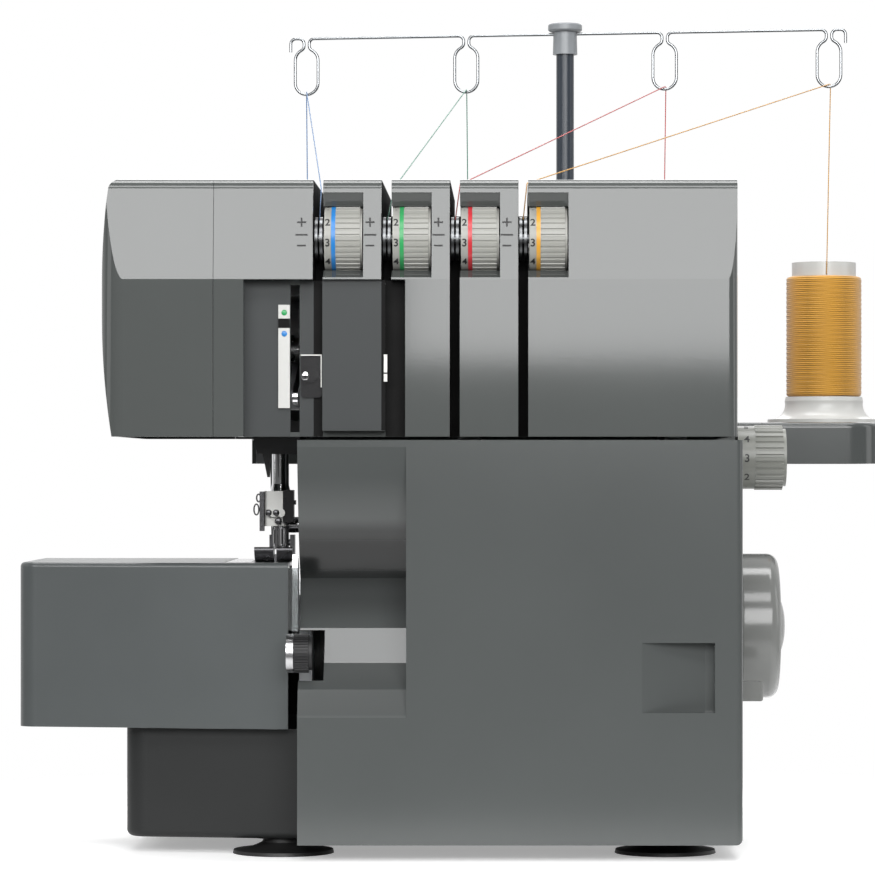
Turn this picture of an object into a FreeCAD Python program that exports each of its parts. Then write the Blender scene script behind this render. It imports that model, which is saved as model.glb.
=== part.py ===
import math
import os

import FreeCAD
import Part

# Home overlock machine, in millimetres. X runs to the right along the front, Y to the rear
# from the front cover's face, and Z up from the surface that the feet stand on.
# The finished pieces are moved together so that the origin is the middle of the footprint.

# Shared walls and clearances
WALL = 2.6
SEAM = 0.6
RUN = 0.04
MOVE = 0.5

# Lower body
FRONT_LEFT = -61.0
FRONT_WIDTH = 193.6
FRONT_BOTTOM = 7.0
FRONT_HEIGHT = 176.0
FRONT_DEPTH = 30.0
BODY_DEPTH = 150.0
SIDE_DEPTH = 21.0
EDGE_ROUND = 3.0
HINGE_Y = 6.0
HINGE_Z = 12.0
HINGE_ROD_R = 2.0
HEEL_DEPTH = 4.0
HEEL_HEIGHT = 7.0
SKIRT_DROP = 4.0
KNOB_ROOM_FALL = 4.5
COVER_SLIDE = 8.0
COVER_GAP = 1.5

# Waste chute and thumb recess of the front cover
CHUTE_WIDTH = 47.3
CHUTE_DEPTH = 25.0
CHUTE_TOP = 180.0
CHUTE_BOTTOM = 62.4
THUMB_INSET = 43.8
THUMB_WIDTH = 31.6
THUMB_BOTTOM = 64.5
THUMB_HEIGHT = 30.4
THUMB_DEPTH = 8.0

# Head
HEAD_LEFT = -97.4
HEAD_INSET = 2.2
HEAD_HEIGHT = 112.2
HEAD_STEP = 10.0
CREASE_HEIGHT = 68.4
LEAN = 4.5
TOP_ROUND = 5.0
FACE_WIDTH = 49.4
FACE_BULGE = 5.4
FACE_CORNER = 10.0
PLAN_SWEEP = 9.0

# Recess in the head's front, and the take-up lever's slot in it
RECESS_LEFT = -84.4
RECESS_WIDTH = 70.3
RECESS_DEPTH = 9.0
PANEL_LEFT = -50.2
PANEL_WIDTH = 27.3
PANEL_RAISE = 6.0
TAKE_UP_X = -62.4
TAKE_UP_SLOT = 4.0

# Thread slots and tension dials
SLOT_FIRST = -52.1
SLOT_PITCH = 29.75
SLOT_WIDTH = 4.4
SLOT_DEPTH = 27.0
SLOT_TOP_DEPTH = 15.0
SLOT_WALL = 1.6
DIAL_Y = 15.5
DIAL_Z = 271.2
DIAL_R = 15.0
DIAL_WIDTH = 16.5
DIAL_FLUTES = 36
POCKET_HEIGHT = 36.0
DISC_R = 9.5
DISC_THICK = 1.2
POST_R = 2.0

# Inner frame
BED_TOP = 18.0
COLUMN_INNER_X = 8.0
COLUMN_INSET = 32.6
COLUMN_THICK = 10.0
FRAME_FRONT = 44.0
FRAME_INSET = 6.0
ARM_LEFT = -92.0
ARM_BOTTOM = 198.0
ARM_HEIGHT = 58.0
ARM_WALL = 8.0
ARM_FRONT = 58.0

# Main shaft, handwheel and motor drive
SHAFT_Y = 95.0
SHAFT_Z = 98.7
SHAFT_R = 6.0
SHAFT_LEFT = 0.0
WHEEL_GAP = 1.4
WHEEL_R = 33.0
WHEEL_WIDTH = 19.7
WHEEL_DOME = 3.3
PULLEY_GAP = 8.0
PULLEY_WIDTH = 8.0
PULLEY_R = 22.0
MOTOR_Y = 105.0
MOTOR_Z = 50.0
MOTOR_R = 22.0
MOTOR_LENGTH = 60.0
MOTOR_PULLEY_R = 9.0
BELT_THICK = 2.0
BELT_GAP = 0.35

# Needle, presser and rocker
NEEDLE_X = -72.5
NEEDLE_Y = 70.0
NEEDLE_BAR_R = 3.75
NEEDLE_CLAMP_Z = 144.7
NEEDLE_CLAMP_HEIGHT = 15.8
NEEDLE_TIP_Z = 133.0
NEEDLE_PITCH = 3.4
ROCKER_Y = 105.0
ROCKER_Z = 225.0
ROCKER_R = 6.0
ROCKER_ARM = 35.0
TAKE_UP_LENGTH = 100.0
TAKE_UP_DROP = 14.0
PRESSER_Y = 86.0
PRESSER_R = 3.0
LIFTER_Y = 122.0
LIFTER_Z = 180.0
LIFTER_LENGTH = 44.0

# Cloth plate, needle plate and knives
PLATE_TOP = 129.0
PLATE_THICK = 2.5
PLATE_LEFT = -187.0
PLATE_RIGHT = -66.3
PLATE_FRONT = 22.0
PLATE_BACK = 125.0
APRON_BOTTOM = 56.0
PLATE_PIVOT_X = -130.0
PLATE_PIVOT_Y = 118.0
PLATE_PIN_R = 3.0
NEEDLE_PLATE_LEFT = -95.0
NEEDLE_PLATE_FRONT = 40.0
NEEDLE_PLATE_BACK = 110.0
KNIFE_X = -65.4
KNIFE_THICK = 2.5
KNOB_Y = 8.5
KNOB_Z = 90.0
KNOB_R = 8.5
KNOB_LENGTH = 7.8
KNOB_TRAVEL = 4.0

# Loopers and feed dogs
LOWER_LOOPER_X = -36.0
LOWER_LOOPER_Z = 40.0
UPPER_LOOPER_X = -22.0
UPPER_LOOPER_Z = 62.0
LOOPER_Y = 70.6
LOOPER_THICK = 2.6
LOOPER_SHAFT_R = 4.0
LOOPER_PLATE_Y = 82.0
FEED_X = -81.0
FEED_WIDTH = 6.0
FEED_TRAVEL = 2.0

# Controls on the right side
STITCH_Y = 60.0
STITCH_Z = 175.6
STITCH_R = 14.5
STITCH_WIDTH = 21.8
LEVER_Y = 62.0
LEVER_Z = 71.65
LEVER_REACH = 18.0
LEVER_TAB_WIDTH = 12.0
LEVER_TAB_HEIGHT = 8.5
LEVER_TAB_OUT = 11.1
SWITCH_INSET = 19.0
SWITCH_Z = 53.0
SWITCH_WIDTH = 14.0
SWITCH_HEIGHT = 18.0
INLET_Z = 26.0
INLET_WIDTH = 20.0
INLET_HEIGHT = 16.0

# Base
BASE_LEFT = -139.6
BASE_SET_BACK = 28.0
BASE_TOP = 55.5
FOOT_R = 22.5
FOOT_HEIGHT = 7.0
FOOT_LEFT_X = -69.4
FOOT_INSET = 32.3
FOOT_FRONT_Y = 42.0
FOOT_REAR_Y = 124.0

# Spool stand and thread antenna
STAND_CENTRE_X = 58.0
STAND_WIDTH = 300.0
STAND_DEPTH = 102.0
STAND_BOTTOM = 173.0
STAND_HEIGHT = 19.5
SPOOL_BACK = 65.0
SPOOL_OFFSETS = (-126.5, -47.4, 47.4, 126.5)
HOLDER_R = 27.5
HOLDER_HEIGHT = 13.2
PACKAGE_R = 18.35
PACKAGE_HEIGHT = 58.7
CORE_R = 15.65
CORE_HEIGHT = 65.5
CORE_WALL = 2.0
PIN_R = 4.0
MAST_TOP = 291.0
MAST_R = 5.75
MAST_WALL = 1.4
TUBE_BOTTOM = 264.0
TUBE_TOP = 373.0
CAP_R = 8.3
CAP_HEIGHT = 15.0
GUIDE_WIRE_R = 0.75
GUIDE_HALF = 137.0
GUIDE_YAW = 9.0
GUIDE_RISE = 10.0
EYELET_OFFSETS = (-129.0, -49.0, 49.0, 129.0)
EYELET_LOOP_R = 5.75
EYELET_LENGTH = 11.0
EYELET_NECK_R = 2.5
EYELET_NECK = 1.0
EYELET_NECK_GAP = 1.3
THREAD_R = 0.25

# Worked-out places
FRONT_RIGHT = FRONT_LEFT + FRONT_WIDTH
FRONT_TOP = FRONT_BOTTOM + FRONT_HEIGHT
HEAD_BOTTOM = FRONT_TOP + COVER_GAP
HEAD_TOP = HEAD_BOTTOM + HEAD_HEIGHT
CREASE_Z = HEAD_BOTTOM + CREASE_HEIGHT
SIDE_X = FRONT_RIGHT - SIDE_DEPTH
FLOOR_TOP = FRONT_BOTTOM + WALL
ARM_TOP = ARM_BOTTOM + ARM_HEIGHT
STAND_TOP = STAND_BOTTOM + STAND_HEIGHT
HOLDER_TOP = STAND_TOP + HOLDER_HEIGHT
PLATE_UNDER = PLATE_TOP - PLATE_THICK
SLOTS = [SLOT_FIRST + SLOT_PITCH * k for k in range(4)]
COLOURS = ("blue", "green", "red", "yellow")
LUGS = (FRONT_LEFT + 25.0, FRONT_LEFT + 125.0)
LUG_WIDTH = 6.0
BOSS_WIDTH = 10.0
THUMB_LEFT = FRONT_RIGHT - THUMB_INSET
HEAD_RIGHT = FRONT_RIGHT - HEAD_INSET
HEAD_DEPTH = BODY_DEPTH - HEAD_STEP
COLUMN_OUTER_X = FRONT_RIGHT - COLUMN_INSET
COLUMN_OUTER_END = COLUMN_OUTER_X + COLUMN_THICK
FRAME_BACK = HEAD_DEPTH - FRAME_INSET
WHEEL_X = FRONT_RIGHT + WHEEL_GAP
PULLEY_X = COLUMN_OUTER_END + PULLEY_GAP
SWITCH_Y = BODY_DEPTH - SWITCH_INSET
SPOOL_Y = BODY_DEPTH + SPOOL_BACK
GUIDE_Z = TUBE_TOP + GUIDE_RISE
FOOT_RIGHT_X = FRONT_RIGHT - FOOT_INSET


def vec(x, y, z):
    return FreeCAD.Vector(x, y, z)


def box(x0, x1, y0, y1, z0, z1):
    return Part.makeBox(x1 - x0, y1 - y0, z1 - z0, vec(x0, y0, z0))


def rod_x(x0, x1, y, z, r):
    return Part.makeCylinder(r, x1 - x0, vec(x0, y, z), vec(1, 0, 0))


def rod_y(y0, y1, x, z, r):
    return Part.makeCylinder(r, y1 - y0, vec(x, y0, z), vec(0, 1, 0))


def rod_z(z0, z1, x, y, r):
    return Part.makeCylinder(r, z1 - z0, vec(x, y, z0), vec(0, 0, 1))


# A closed outline: each corner is (u, v), or (u, v, mid_u, mid_v) where an arc through
# the middle point leads to it.
def outline(corners, place):
    edges = []
    for start, end in zip(corners[-1:] + corners[:-1], corners):
        a = place(start[0], start[1])
        b = place(end[0], end[1])
        if len(end) == 4:
            edges.append(Part.Arc(a, place(end[2], end[3]), b).toShape())
        else:
            edges.append(Part.LineSegment(a, b).toShape())
    return Part.Face(Part.Wire(edges))


def prism_x(corners, x0, x1):
    return outline(corners, lambda y, z: vec(x0, y, z)).extrude(vec(x1 - x0, 0, 0))


def prism_y(corners, y0, y1):
    return outline(corners, lambda x, z: vec(x, y0, z)).extrude(vec(0, y1 - y0, 0))


def prism_z(corners, z0, z1):
    return outline(corners, lambda x, y: vec(x, y, z0)).extrude(vec(0, 0, z1 - z0))


# Turned pieces: (along, radius) corners about a line parallel to X or Z
def spin_x(corners, y, z):
    face = outline(corners, lambda x, r: vec(x, y, z + r))
    return face.revolve(vec(0, y, z), vec(1, 0, 0), 360)


def spin_z(corners, x, y):
    face = outline(corners, lambda z, r: vec(x + r, y, z))
    return face.revolve(vec(x, y, 0), vec(0, 0, 1), 360)


def fuse(*shapes):
    joined = shapes[0].multiFuse(list(shapes[1:]))
    return joined.removeSplitter()


def cut(shape, *tools):
    return shape.cut(list(tools)).removeSplitter()


def group(shapes):
    return Part.makeCompound(list(shapes))


def round_edges(shape, radius, test):
    picked = [e for e in shape.Edges if test(e.BoundBox)]
    return shape.makeFillet(radius, picked)


# A wheel with shallow grip flutes round it, between two places along X
def fluted(x0, x1, y, z, r, depth, count):
    corners = []
    for k in range(count):
        for radius, turn in ((r, 0.0), (r, 0.5), (r - depth, 0.62), (r - depth, 0.88)):
            angle = 2 * math.pi * (k + turn) / count
            corners.append((y + radius * math.cos(angle), z + radius * math.sin(angle)))
    return prism_x(corners, x0, x1)


# Chute outline in side view: rounded nose, hollow, then three facets out to the front face
def chute_corners():
    hollow_top = CHUTE_BOTTOM + 0.51 * (CHUTE_TOP - CHUTE_BOTTOM)
    ledge = CHUTE_BOTTOM + 23.0
    return [
        (-1.0, CHUTE_BOTTOM),
        (-1.0, CHUTE_TOP),
        (0.0, CHUTE_TOP),
        (CHUTE_DEPTH, hollow_top, 0.33 * CHUTE_DEPTH, 0.42 * hollow_top + 0.58 * CHUTE_TOP - 4.0),
        (CHUTE_DEPTH, ledge + 15.0),
        (0.70 * CHUTE_DEPTH, ledge),
        (0.2 * CHUTE_DEPTH, CHUTE_BOTTOM + 12.0),
        (0.0, CHUTE_BOTTOM),
    ]


# Right end of the room that the knife knob needs when it is pulled out
def knob_room_right():
    return KNIFE_X + KNIFE_THICK + KNOB_LENGTH + KNOB_TRAVEL + 2 * MOVE


def front_cover():
    left, right = FRONT_LEFT, FRONT_RIGHT
    low, high = FRONT_BOTTOM, FRONT_TOP
    shell = box(left, right, 0, FRONT_DEPTH, low, high)
    shell = round_edges(
        shell, EDGE_ROUND, lambda b: b.XMin > right - 1 and (b.YMax < 1 or b.ZMax < low + 1)
    )
    hollow = box(left + WALL, right - WALL, WALL, FRONT_DEPTH + 1, low - 1, high - WALL)
    chute_right = left + CHUTE_WIDTH
    chute_back = box(left, chute_right + WALL, 0.5, FRONT_DEPTH, CHUTE_BOTTOM - WALL, high - 0.5)
    thumb_right = THUMB_LEFT + THUMB_WIDTH
    thumb_top = THUMB_BOTTOM + THUMB_HEIGHT
    thumb_back = box(
        THUMB_LEFT - WALL, thumb_right + WALL, 0.5, THUMB_DEPTH + WALL, THUMB_BOTTOM - WALL,
        thumb_top + WALL
    )
    boss_left = [x + LUG_WIDTH + 3 * MOVE for x in LUGS]
    bosses = [
        box(x, x + BOSS_WIDTH, WALL, HINGE_Y + 4.0, low + WALL, HINGE_Z + 4.0).cut(
            rod_x(x - 1, x + BOSS_WIDTH + 1, HINGE_Y, HINGE_Z, HINGE_ROD_R + RUN)
        )
        for x in boss_left
    ]
    cover = fuse(cut(shell, hollow), chute_back, thumb_back)
    chute = prism_x(chute_corners(), left - 1, chute_right)
    thumb = prism_z(
        [
            (THUMB_LEFT, 0.0, THUMB_LEFT + 0.55 * THUMB_WIDTH, 0.72 * THUMB_DEPTH),
            (THUMB_LEFT, -1.0),
            (thumb_right, -1.0),
            (thumb_right, THUMB_DEPTH),
            (thumb_right - 4.0, THUMB_DEPTH),
        ],
        THUMB_BOTTOM,
        thumb_top,
    )
    room_floor = KNOB_Z - KNOB_R - 4 * MOVE
    room_top = KNOB_Z + KNOB_R + 2 * MOVE
    knob_room = prism_x(
        [
            (-1.0, room_floor),
            (FRONT_DEPTH + 1, room_floor - KNOB_ROOM_FALL),
            (FRONT_DEPTH + 1, room_top),
            (-1.0, room_top),
        ],
        left - 1,
        knob_room_right(),
    )
    back_top = box(left - 1, right + 1, FRONT_DEPTH - 12.0, FRONT_DEPTH + 1, high - 5.0, high + 1)
    heel = prism_x(
        [(FRONT_DEPTH - HEEL_DEPTH, low), (FRONT_DEPTH, low + HEEL_HEIGHT), (FRONT_DEPTH + 1, low)],
        left - 1,
        right + 1,
    )
    whole = cut(cover, chute, thumb, knob_room, back_top, heel)
    return group(with_skirt(whole) + bosses)


# The cover's skirt below the chute: a front plate and two cheeks that meet the upper moulding, whose left end
# beside the knob is a part of its own
def with_skirt(whole):
    left, right = FRONT_LEFT, FRONT_RIGHT
    low, high = FRONT_BOTTOM, FRONT_TOP
    seam = CHUTE_BOTTOM - WALL - SKIRT_DROP
    rooms = [
        box(left - 1, knob_room_right(), -1, FRONT_DEPTH + 1, seam, high + 1),
        box(knob_room_right(), right + 1, -1, FRONT_DEPTH + 1, seam, high + 1),
        box(left - 1, right + 1, -1, WALL, low - 1, seam),
        box(left - 1, left + WALL, WALL, FRONT_DEPTH + 1, low - 1, seam),
        box(right - WALL, right + 1, WALL, FRONT_DEPTH + 1, low - 1, seam),
    ]
    return [whole.common(room) for room in rooms]


def front_cover_rod():
    end = LUGS[1] + 3 * LUG_WIDTH + BOSS_WIDTH + COVER_SLIDE
    return rod_x(LUGS[0] - LUG_WIDTH, end, HINGE_Y, HINGE_Z, HINGE_ROD_R)


# Head outline in side view: upright to the crease, leaning back above it
def head_corners(inset, low):
    top = HEAD_TOP - inset
    shoulder = LEAN * (top - TOP_ROUND - CREASE_Z) / (HEAD_TOP - CREASE_Z)
    return [
        (inset, low),
        (inset, CREASE_Z),
        (shoulder + inset, top - TOP_ROUND),
        (shoulder + inset + TOP_ROUND, top, shoulder + inset + 0.28 * TOP_ROUND, top - 0.32 * TOP_ROUND),
        (HEAD_DEPTH - inset, top),
        (HEAD_DEPTH - inset, low),
    ]


def head_solid(x0, x1):
    return prism_x(head_corners(0.0, HEAD_BOTTOM), x0, x1)


# Everything that the slots and dial pockets take from the head, and the walls round them
def slot_boxes(x, wall, low):
    half = SLOT_WIDTH / 2 + wall
    top = HEAD_TOP + 1 - wall
    front = box(x - half, x + half, -1, SLOT_DEPTH + wall, low, top)
    over = box(x - half, x + half, -1, HEAD_DEPTH + 1, HEAD_TOP - SLOT_TOP_DEPTH - wall, top)
    return fuse(front, over)


def dial_left(x):
    return x + SLOT_WIDTH / 2 + MOVE


def dial_right(x):
    return dial_left(x) + DIAL_WIDTH


def pocket_block(x):
    half = DIAL_R + MOVE + WALL
    return box(
        x, dial_right(x) + MOVE + SLOT_WALL, 0, DIAL_Y + half, DIAL_Z - half - 1,
        DIAL_Z + POCKET_HEIGHT / 2 + WALL + 3
    )


def pocket_room(x):
    half = POCKET_HEIGHT / 2
    mouth = [
        (-1.0, DIAL_Z - half),
        (-1.0, DIAL_Z + half + 2.0),
        (LEAN, DIAL_Z + half + 1.5),
        (LEAN + 5.0, DIAL_Z + half - 6.0),
        (LEAN + 5.0, DIAL_Z - half + 4.0),
    ]
    x0, x1 = dial_left(x) - MOVE, dial_right(x) + MOVE
    return fuse(prism_x(mouth, x0, x1), rod_x(x0, x1, DIAL_Y, DIAL_Z, DIAL_R + MOVE))


def top_cover():
    outer = head_solid(HEAD_LEFT, HEAD_RIGHT)
    outer = round_edges(
        outer, TOP_ROUND - 0.5, lambda b: b.XMin > HEAD_RIGHT - 0.1 and b.YMax < 1 and b.ZLength > 9
    )
    inner = prism_x(head_corners(WALL, HEAD_BOTTOM - 1), HEAD_LEFT - 1, HEAD_RIGHT - WALL)
    recess_right = RECESS_LEFT + RECESS_WIDTH
    recess_top = CREASE_Z - 0.2
    lows = (recess_top - 2.0, recess_top - 2.0, HEAD_BOTTOM - 1, HEAD_BOTTOM - 1)
    pan = box(
        RECESS_LEFT - WALL, recess_right + WALL, 0, RECESS_DEPTH + WALL, HEAD_BOTTOM, recess_top + WALL
    )
    walls = [slot_boxes(x, SLOT_WALL, max(low, HEAD_BOTTOM)) for x, low in zip(SLOTS, lows)]
    blocks = [pocket_block(x) for x in SLOTS]
    cover = fuse(outer.cut(inner), outer.common(fuse(pan, *walls, *blocks)))
    recess = box(RECESS_LEFT, recess_right, -1, RECESS_DEPTH, HEAD_BOTTOM - 1, recess_top)
    panel = box(
        PANEL_LEFT, PANEL_LEFT + PANEL_WIDTH, RECESS_DEPTH - PANEL_RAISE, RECESS_DEPTH + 1,
        HEAD_BOTTOM + 2.5, recess_top
    )
    recess = recess.cut(panel)
    lever_slot = box(
        TAKE_UP_X - TAKE_UP_SLOT / 2, TAKE_UP_X + TAKE_UP_SLOT / 2, RECESS_DEPTH - 1,
        RECESS_DEPTH + WALL + 1,
        HEAD_BOTTOM + 2.0, recess_top - 2.0,
    )
    rooms = [pocket_room(x) for x in SLOTS]
    slots = [slot_boxes(x, 0.0, low) for x, low in zip(SLOTS, lows)]
    return cut(cover, recess, lever_slot, *rooms, *slots)


# End cap of the head: its front carries on from the top cover, and its outer side bulges
def face_solid(inset):
    right = HEAD_LEFT - 0.2
    left = HEAD_LEFT - FACE_WIDTH + inset
    corner = FACE_CORNER
    front_left = inset
    plan = prism_z(
        [
            (right, inset),
            (right, HEAD_DEPTH - inset),
            (left + corner, HEAD_DEPTH - inset),
            (left, HEAD_DEPTH - inset - corner, left + 0.3 * corner, HEAD_DEPTH - inset - 0.3 * corner),
            (left, front_left + corner),
            (left + corner, front_left, left + 0.3 * corner, front_left + 0.3 * corner),
        ],
        HEAD_BOTTOM - (1 if inset else 0),
        HEAD_TOP - inset,
    )
    middle = (HEAD_BOTTOM + HEAD_TOP) / 2 + 4.0
    top_left = HEAD_TOP - inset - TOP_ROUND
    front = prism_y(
        [
            (right, HEAD_BOTTOM - 2),
            (right, HEAD_TOP - inset),
            (left + 0.6 * FACE_BULGE + TOP_ROUND, HEAD_TOP - inset),
            (
                left + 0.6 * FACE_BULGE, top_left, left + 0.6 * FACE_BULGE + 0.3 * TOP_ROUND,
                top_left + 0.7 * TOP_ROUND
            ),
            (left + FACE_BULGE, HEAD_BOTTOM - 2, left, middle),
        ],
        -1,
        HEAD_DEPTH + 1,
    )
    side = prism_x(head_corners(inset, HEAD_BOTTOM - 2), left - 1, right)
    return plan.common(front).common(side)


def face_cover():
    outer = face_solid(0.0)
    room = face_solid(WALL)
    return cut(
        outer, room, box(HEAD_LEFT - 5, HEAD_LEFT + 1, WALL + LEAN, HEAD_DEPTH - WALL, 0, HEAD_TOP - WALL)
    )


def belt_cover():
    shell = box(SIDE_X + 0.4, FRONT_RIGHT, FRONT_DEPTH + SEAM, BODY_DEPTH, FRONT_BOTTOM, FRONT_TOP)
    shell = round_edges(
        shell, EDGE_ROUND, lambda b: b.XMin > FRONT_RIGHT - 0.1 and (
            b.YMin > BODY_DEPTH - 1 or b.ZMax < FLOOR_TOP
        )
    )
    hollow = box(
        SIDE_X - 1, FRONT_RIGHT - WALL, FRONT_DEPTH + SEAM + WALL, BODY_DEPTH - WALL, FLOOR_TOP,
        FRONT_TOP - WALL
    )
    far = FRONT_RIGHT + 1
    near = FRONT_RIGHT - WALL - 1
    tab_y = LEVER_Y - LEVER_REACH
    tab_half = LEVER_TAB_HEIGHT / 2 + 0.25 * LEVER_REACH + 2 * MOVE
    return cut(
        shell,
        hollow,
        rod_x(near, far, SHAFT_Y, SHAFT_Z, 2 * SHAFT_R + MOVE),
        rod_x(near, far, STITCH_Y, STITCH_Z, 4.0 + MOVE),
        box(
            near, far, tab_y - LEVER_TAB_WIDTH / 2 - 3, tab_y + LEVER_TAB_WIDTH / 2 + 3, LEVER_Z - tab_half,
            LEVER_Z + tab_half
        ),
        switch_room(near, far),
        inlet_room(near, far),
    )


def switch_room(x0, x1):
    y = SWITCH_WIDTH / 2 + MOVE
    z = SWITCH_HEIGHT / 2 + MOVE
    return box(x0, x1, SWITCH_Y - y, SWITCH_Y + y, SWITCH_Z - z, SWITCH_Z + z)


def inlet_room(x0, x1):
    y = INLET_WIDTH / 2
    z = INLET_HEIGHT / 2
    return box(x0, x1, SWITCH_Y - y, SWITCH_Y + y, INLET_Z - z, INLET_Z + z)


# Switch and mains socket moulded as one insert behind the side cover, with three flat contacts
def power_inlet():
    back = FRONT_RIGHT - WALL - 14.0
    face = FRONT_RIGHT - WALL
    half = INLET_WIDTH / 2 + WALL
    body = box(
        back, face, SWITCH_Y - half, SWITCH_Y + half, INLET_Z - INLET_HEIGHT / 2 - WALL,
        SWITCH_Z + SWITCH_HEIGHT / 2 + WALL
    )
    pivot = rod_y(SWITCH_Y - half - 1, SWITCH_Y + half + 1, face - 4.0, SWITCH_Z, 1.5 + RUN)
    body = cut(body, switch_room(back + WALL, face + 1), inlet_room(back + WALL, face + 1), pivot)
    blades = [
        box(back + WALL - 0.1, face - 3.0, SWITCH_Y + y - 0.5, SWITCH_Y + y + 0.5, INLET_Z - 2, INLET_Z + 2)
        for y in (-6.0, 0.0, 6.0)
    ]
    return fuse(body, *blades)


def power_rocker():
    face = FRONT_RIGHT - WALL
    half = SWITCH_HEIGHT / 2 - 0.2
    pad = prism_y(
        [
            (face - 6.0, SWITCH_Z - 3.0),
            (face + 3.6, SWITCH_Z - half),
            (face + 3.6, SWITCH_Z + half, face + 2.0, SWITCH_Z),
            (face - 6.0, SWITCH_Z + 3.0),
        ],
        SWITCH_Y - SWITCH_WIDTH / 2,
        SWITCH_Y + SWITCH_WIDTH / 2,
    )
    reach = INLET_WIDTH / 2 + WALL
    return fuse(pad, rod_y(SWITCH_Y - reach, SWITCH_Y + reach, face - 4.0, SWITCH_Z, 1.5))


def rear_cover():
    right = SIDE_X
    back = box(FRONT_LEFT, right, BODY_DEPTH - 16.0, BODY_DEPTH, FLOOR_TOP, FRONT_TOP)
    back = round_edges(back, EDGE_ROUND, lambda b: b.XMax < FRONT_LEFT + 0.1 and b.YMin > BODY_DEPTH - 0.1)
    hollow = box(
        FRONT_LEFT + WALL, right + 1, BODY_DEPTH - 17.0, BODY_DEPTH - WALL, FLOOR_TOP - 1, FRONT_TOP - WALL
    )
    side = box(
        FRONT_LEFT, FRONT_LEFT + WALL, LOOPER_PLATE_Y + 10.0, BODY_DEPTH - 15.9, BASE_TOP + 2.0, FRONT_TOP
    )
    vents = [
        box(
            COLUMN_INNER_X + 20 + 7 * k, COLUMN_INNER_X + 23 + 7 * k, BODY_DEPTH - WALL - 1, BODY_DEPTH + 1,
            30, 62
        )
        for k in range(9)
    ]
    return cut(fuse(back.cut(hollow), side), *vents)


# Floor tray of the machine and the housing below the cloth plate, swept back to the left
def base_pan():
    right = FRONT_LEFT - SEAM
    sweep = math.tan(math.radians(PLAN_SWEEP))
    corner = 10.0

    def housing(inset, low, high, right_end):
        left = BASE_LEFT + inset
        front = BASE_SET_BACK + inset
        front_left = front + sweep * (right - left - corner)
        corners = [
            (right_end, BODY_DEPTH - inset),
            (left, BODY_DEPTH - inset),
            (left, front_left + corner),
            (left + corner, front_left, left + 0.3 * corner, front_left + 0.3 * corner),
            (right, front),
        ]
        if right_end > right:
            corners.append((right_end, front))
        return prism_z(corners, low, high)

    outer = housing(0.0, FRONT_BOTTOM, BASE_TOP, right)
    outer = round_edges(outer, EDGE_ROUND, lambda b: b.ZMax < FRONT_BOTTOM + 0.1 and b.XMin < right - 5)
    left_box = outer.cut(housing(WALL, FLOOR_TOP, BASE_TOP + 1, right + 1))
    tray = box(right - 2, SIDE_X, FRONT_DEPTH + 1.5, BODY_DEPTH, FRONT_BOTTOM, FLOOR_TOP)
    lugs = [
        fuse(
            box(x, x + LUG_WIDTH, HINGE_Y, FRONT_DEPTH + 8.0, HINGE_Z - 2.4, HINGE_Z + 2.9),
            rod_x(x, x + LUG_WIDTH, HINGE_Y, HINGE_Z, 2.9),
        )
        for x in LUGS
    ]
    post = rod_z(FLOOR_TOP - 1, PLATE_UNDER - 7.0, PLATE_PIVOT_X, PLATE_PIVOT_Y, 7.0)
    pin = rod_z(PLATE_UNDER - 8.0, PLATE_UNDER - 0.3, PLATE_PIVOT_X, PLATE_PIVOT_Y, PLATE_PIN_R)
    bore = rod_x(LUGS[0] - 1, LUGS[1] + LUG_WIDTH + 1, HINGE_Y, HINGE_Z, HINGE_ROD_R + RUN)
    return group([fuse(left_box, tray, post, pin)] + [lug.cut(bore) for lug in lugs])


def suction_feet():
    corners = [
        (0.0, 0.0),
        (0.0, FOOT_R),
        (1.6, FOOT_R - 0.4),
        (FOOT_HEIGHT - 2.0, 0.42 * FOOT_R, 3.0, 0.62 * FOOT_R),
        (FOOT_HEIGHT, 0.38 * FOOT_R),
        (FOOT_HEIGHT, 0.0),
    ]
    places = [(x, y) for y in (FOOT_FRONT_Y, FOOT_REAR_Y) for x in (FOOT_LEFT_X, FOOT_RIGHT_X)]
    return group(spin_z(corners, x, y) for x, y in places)


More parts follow.
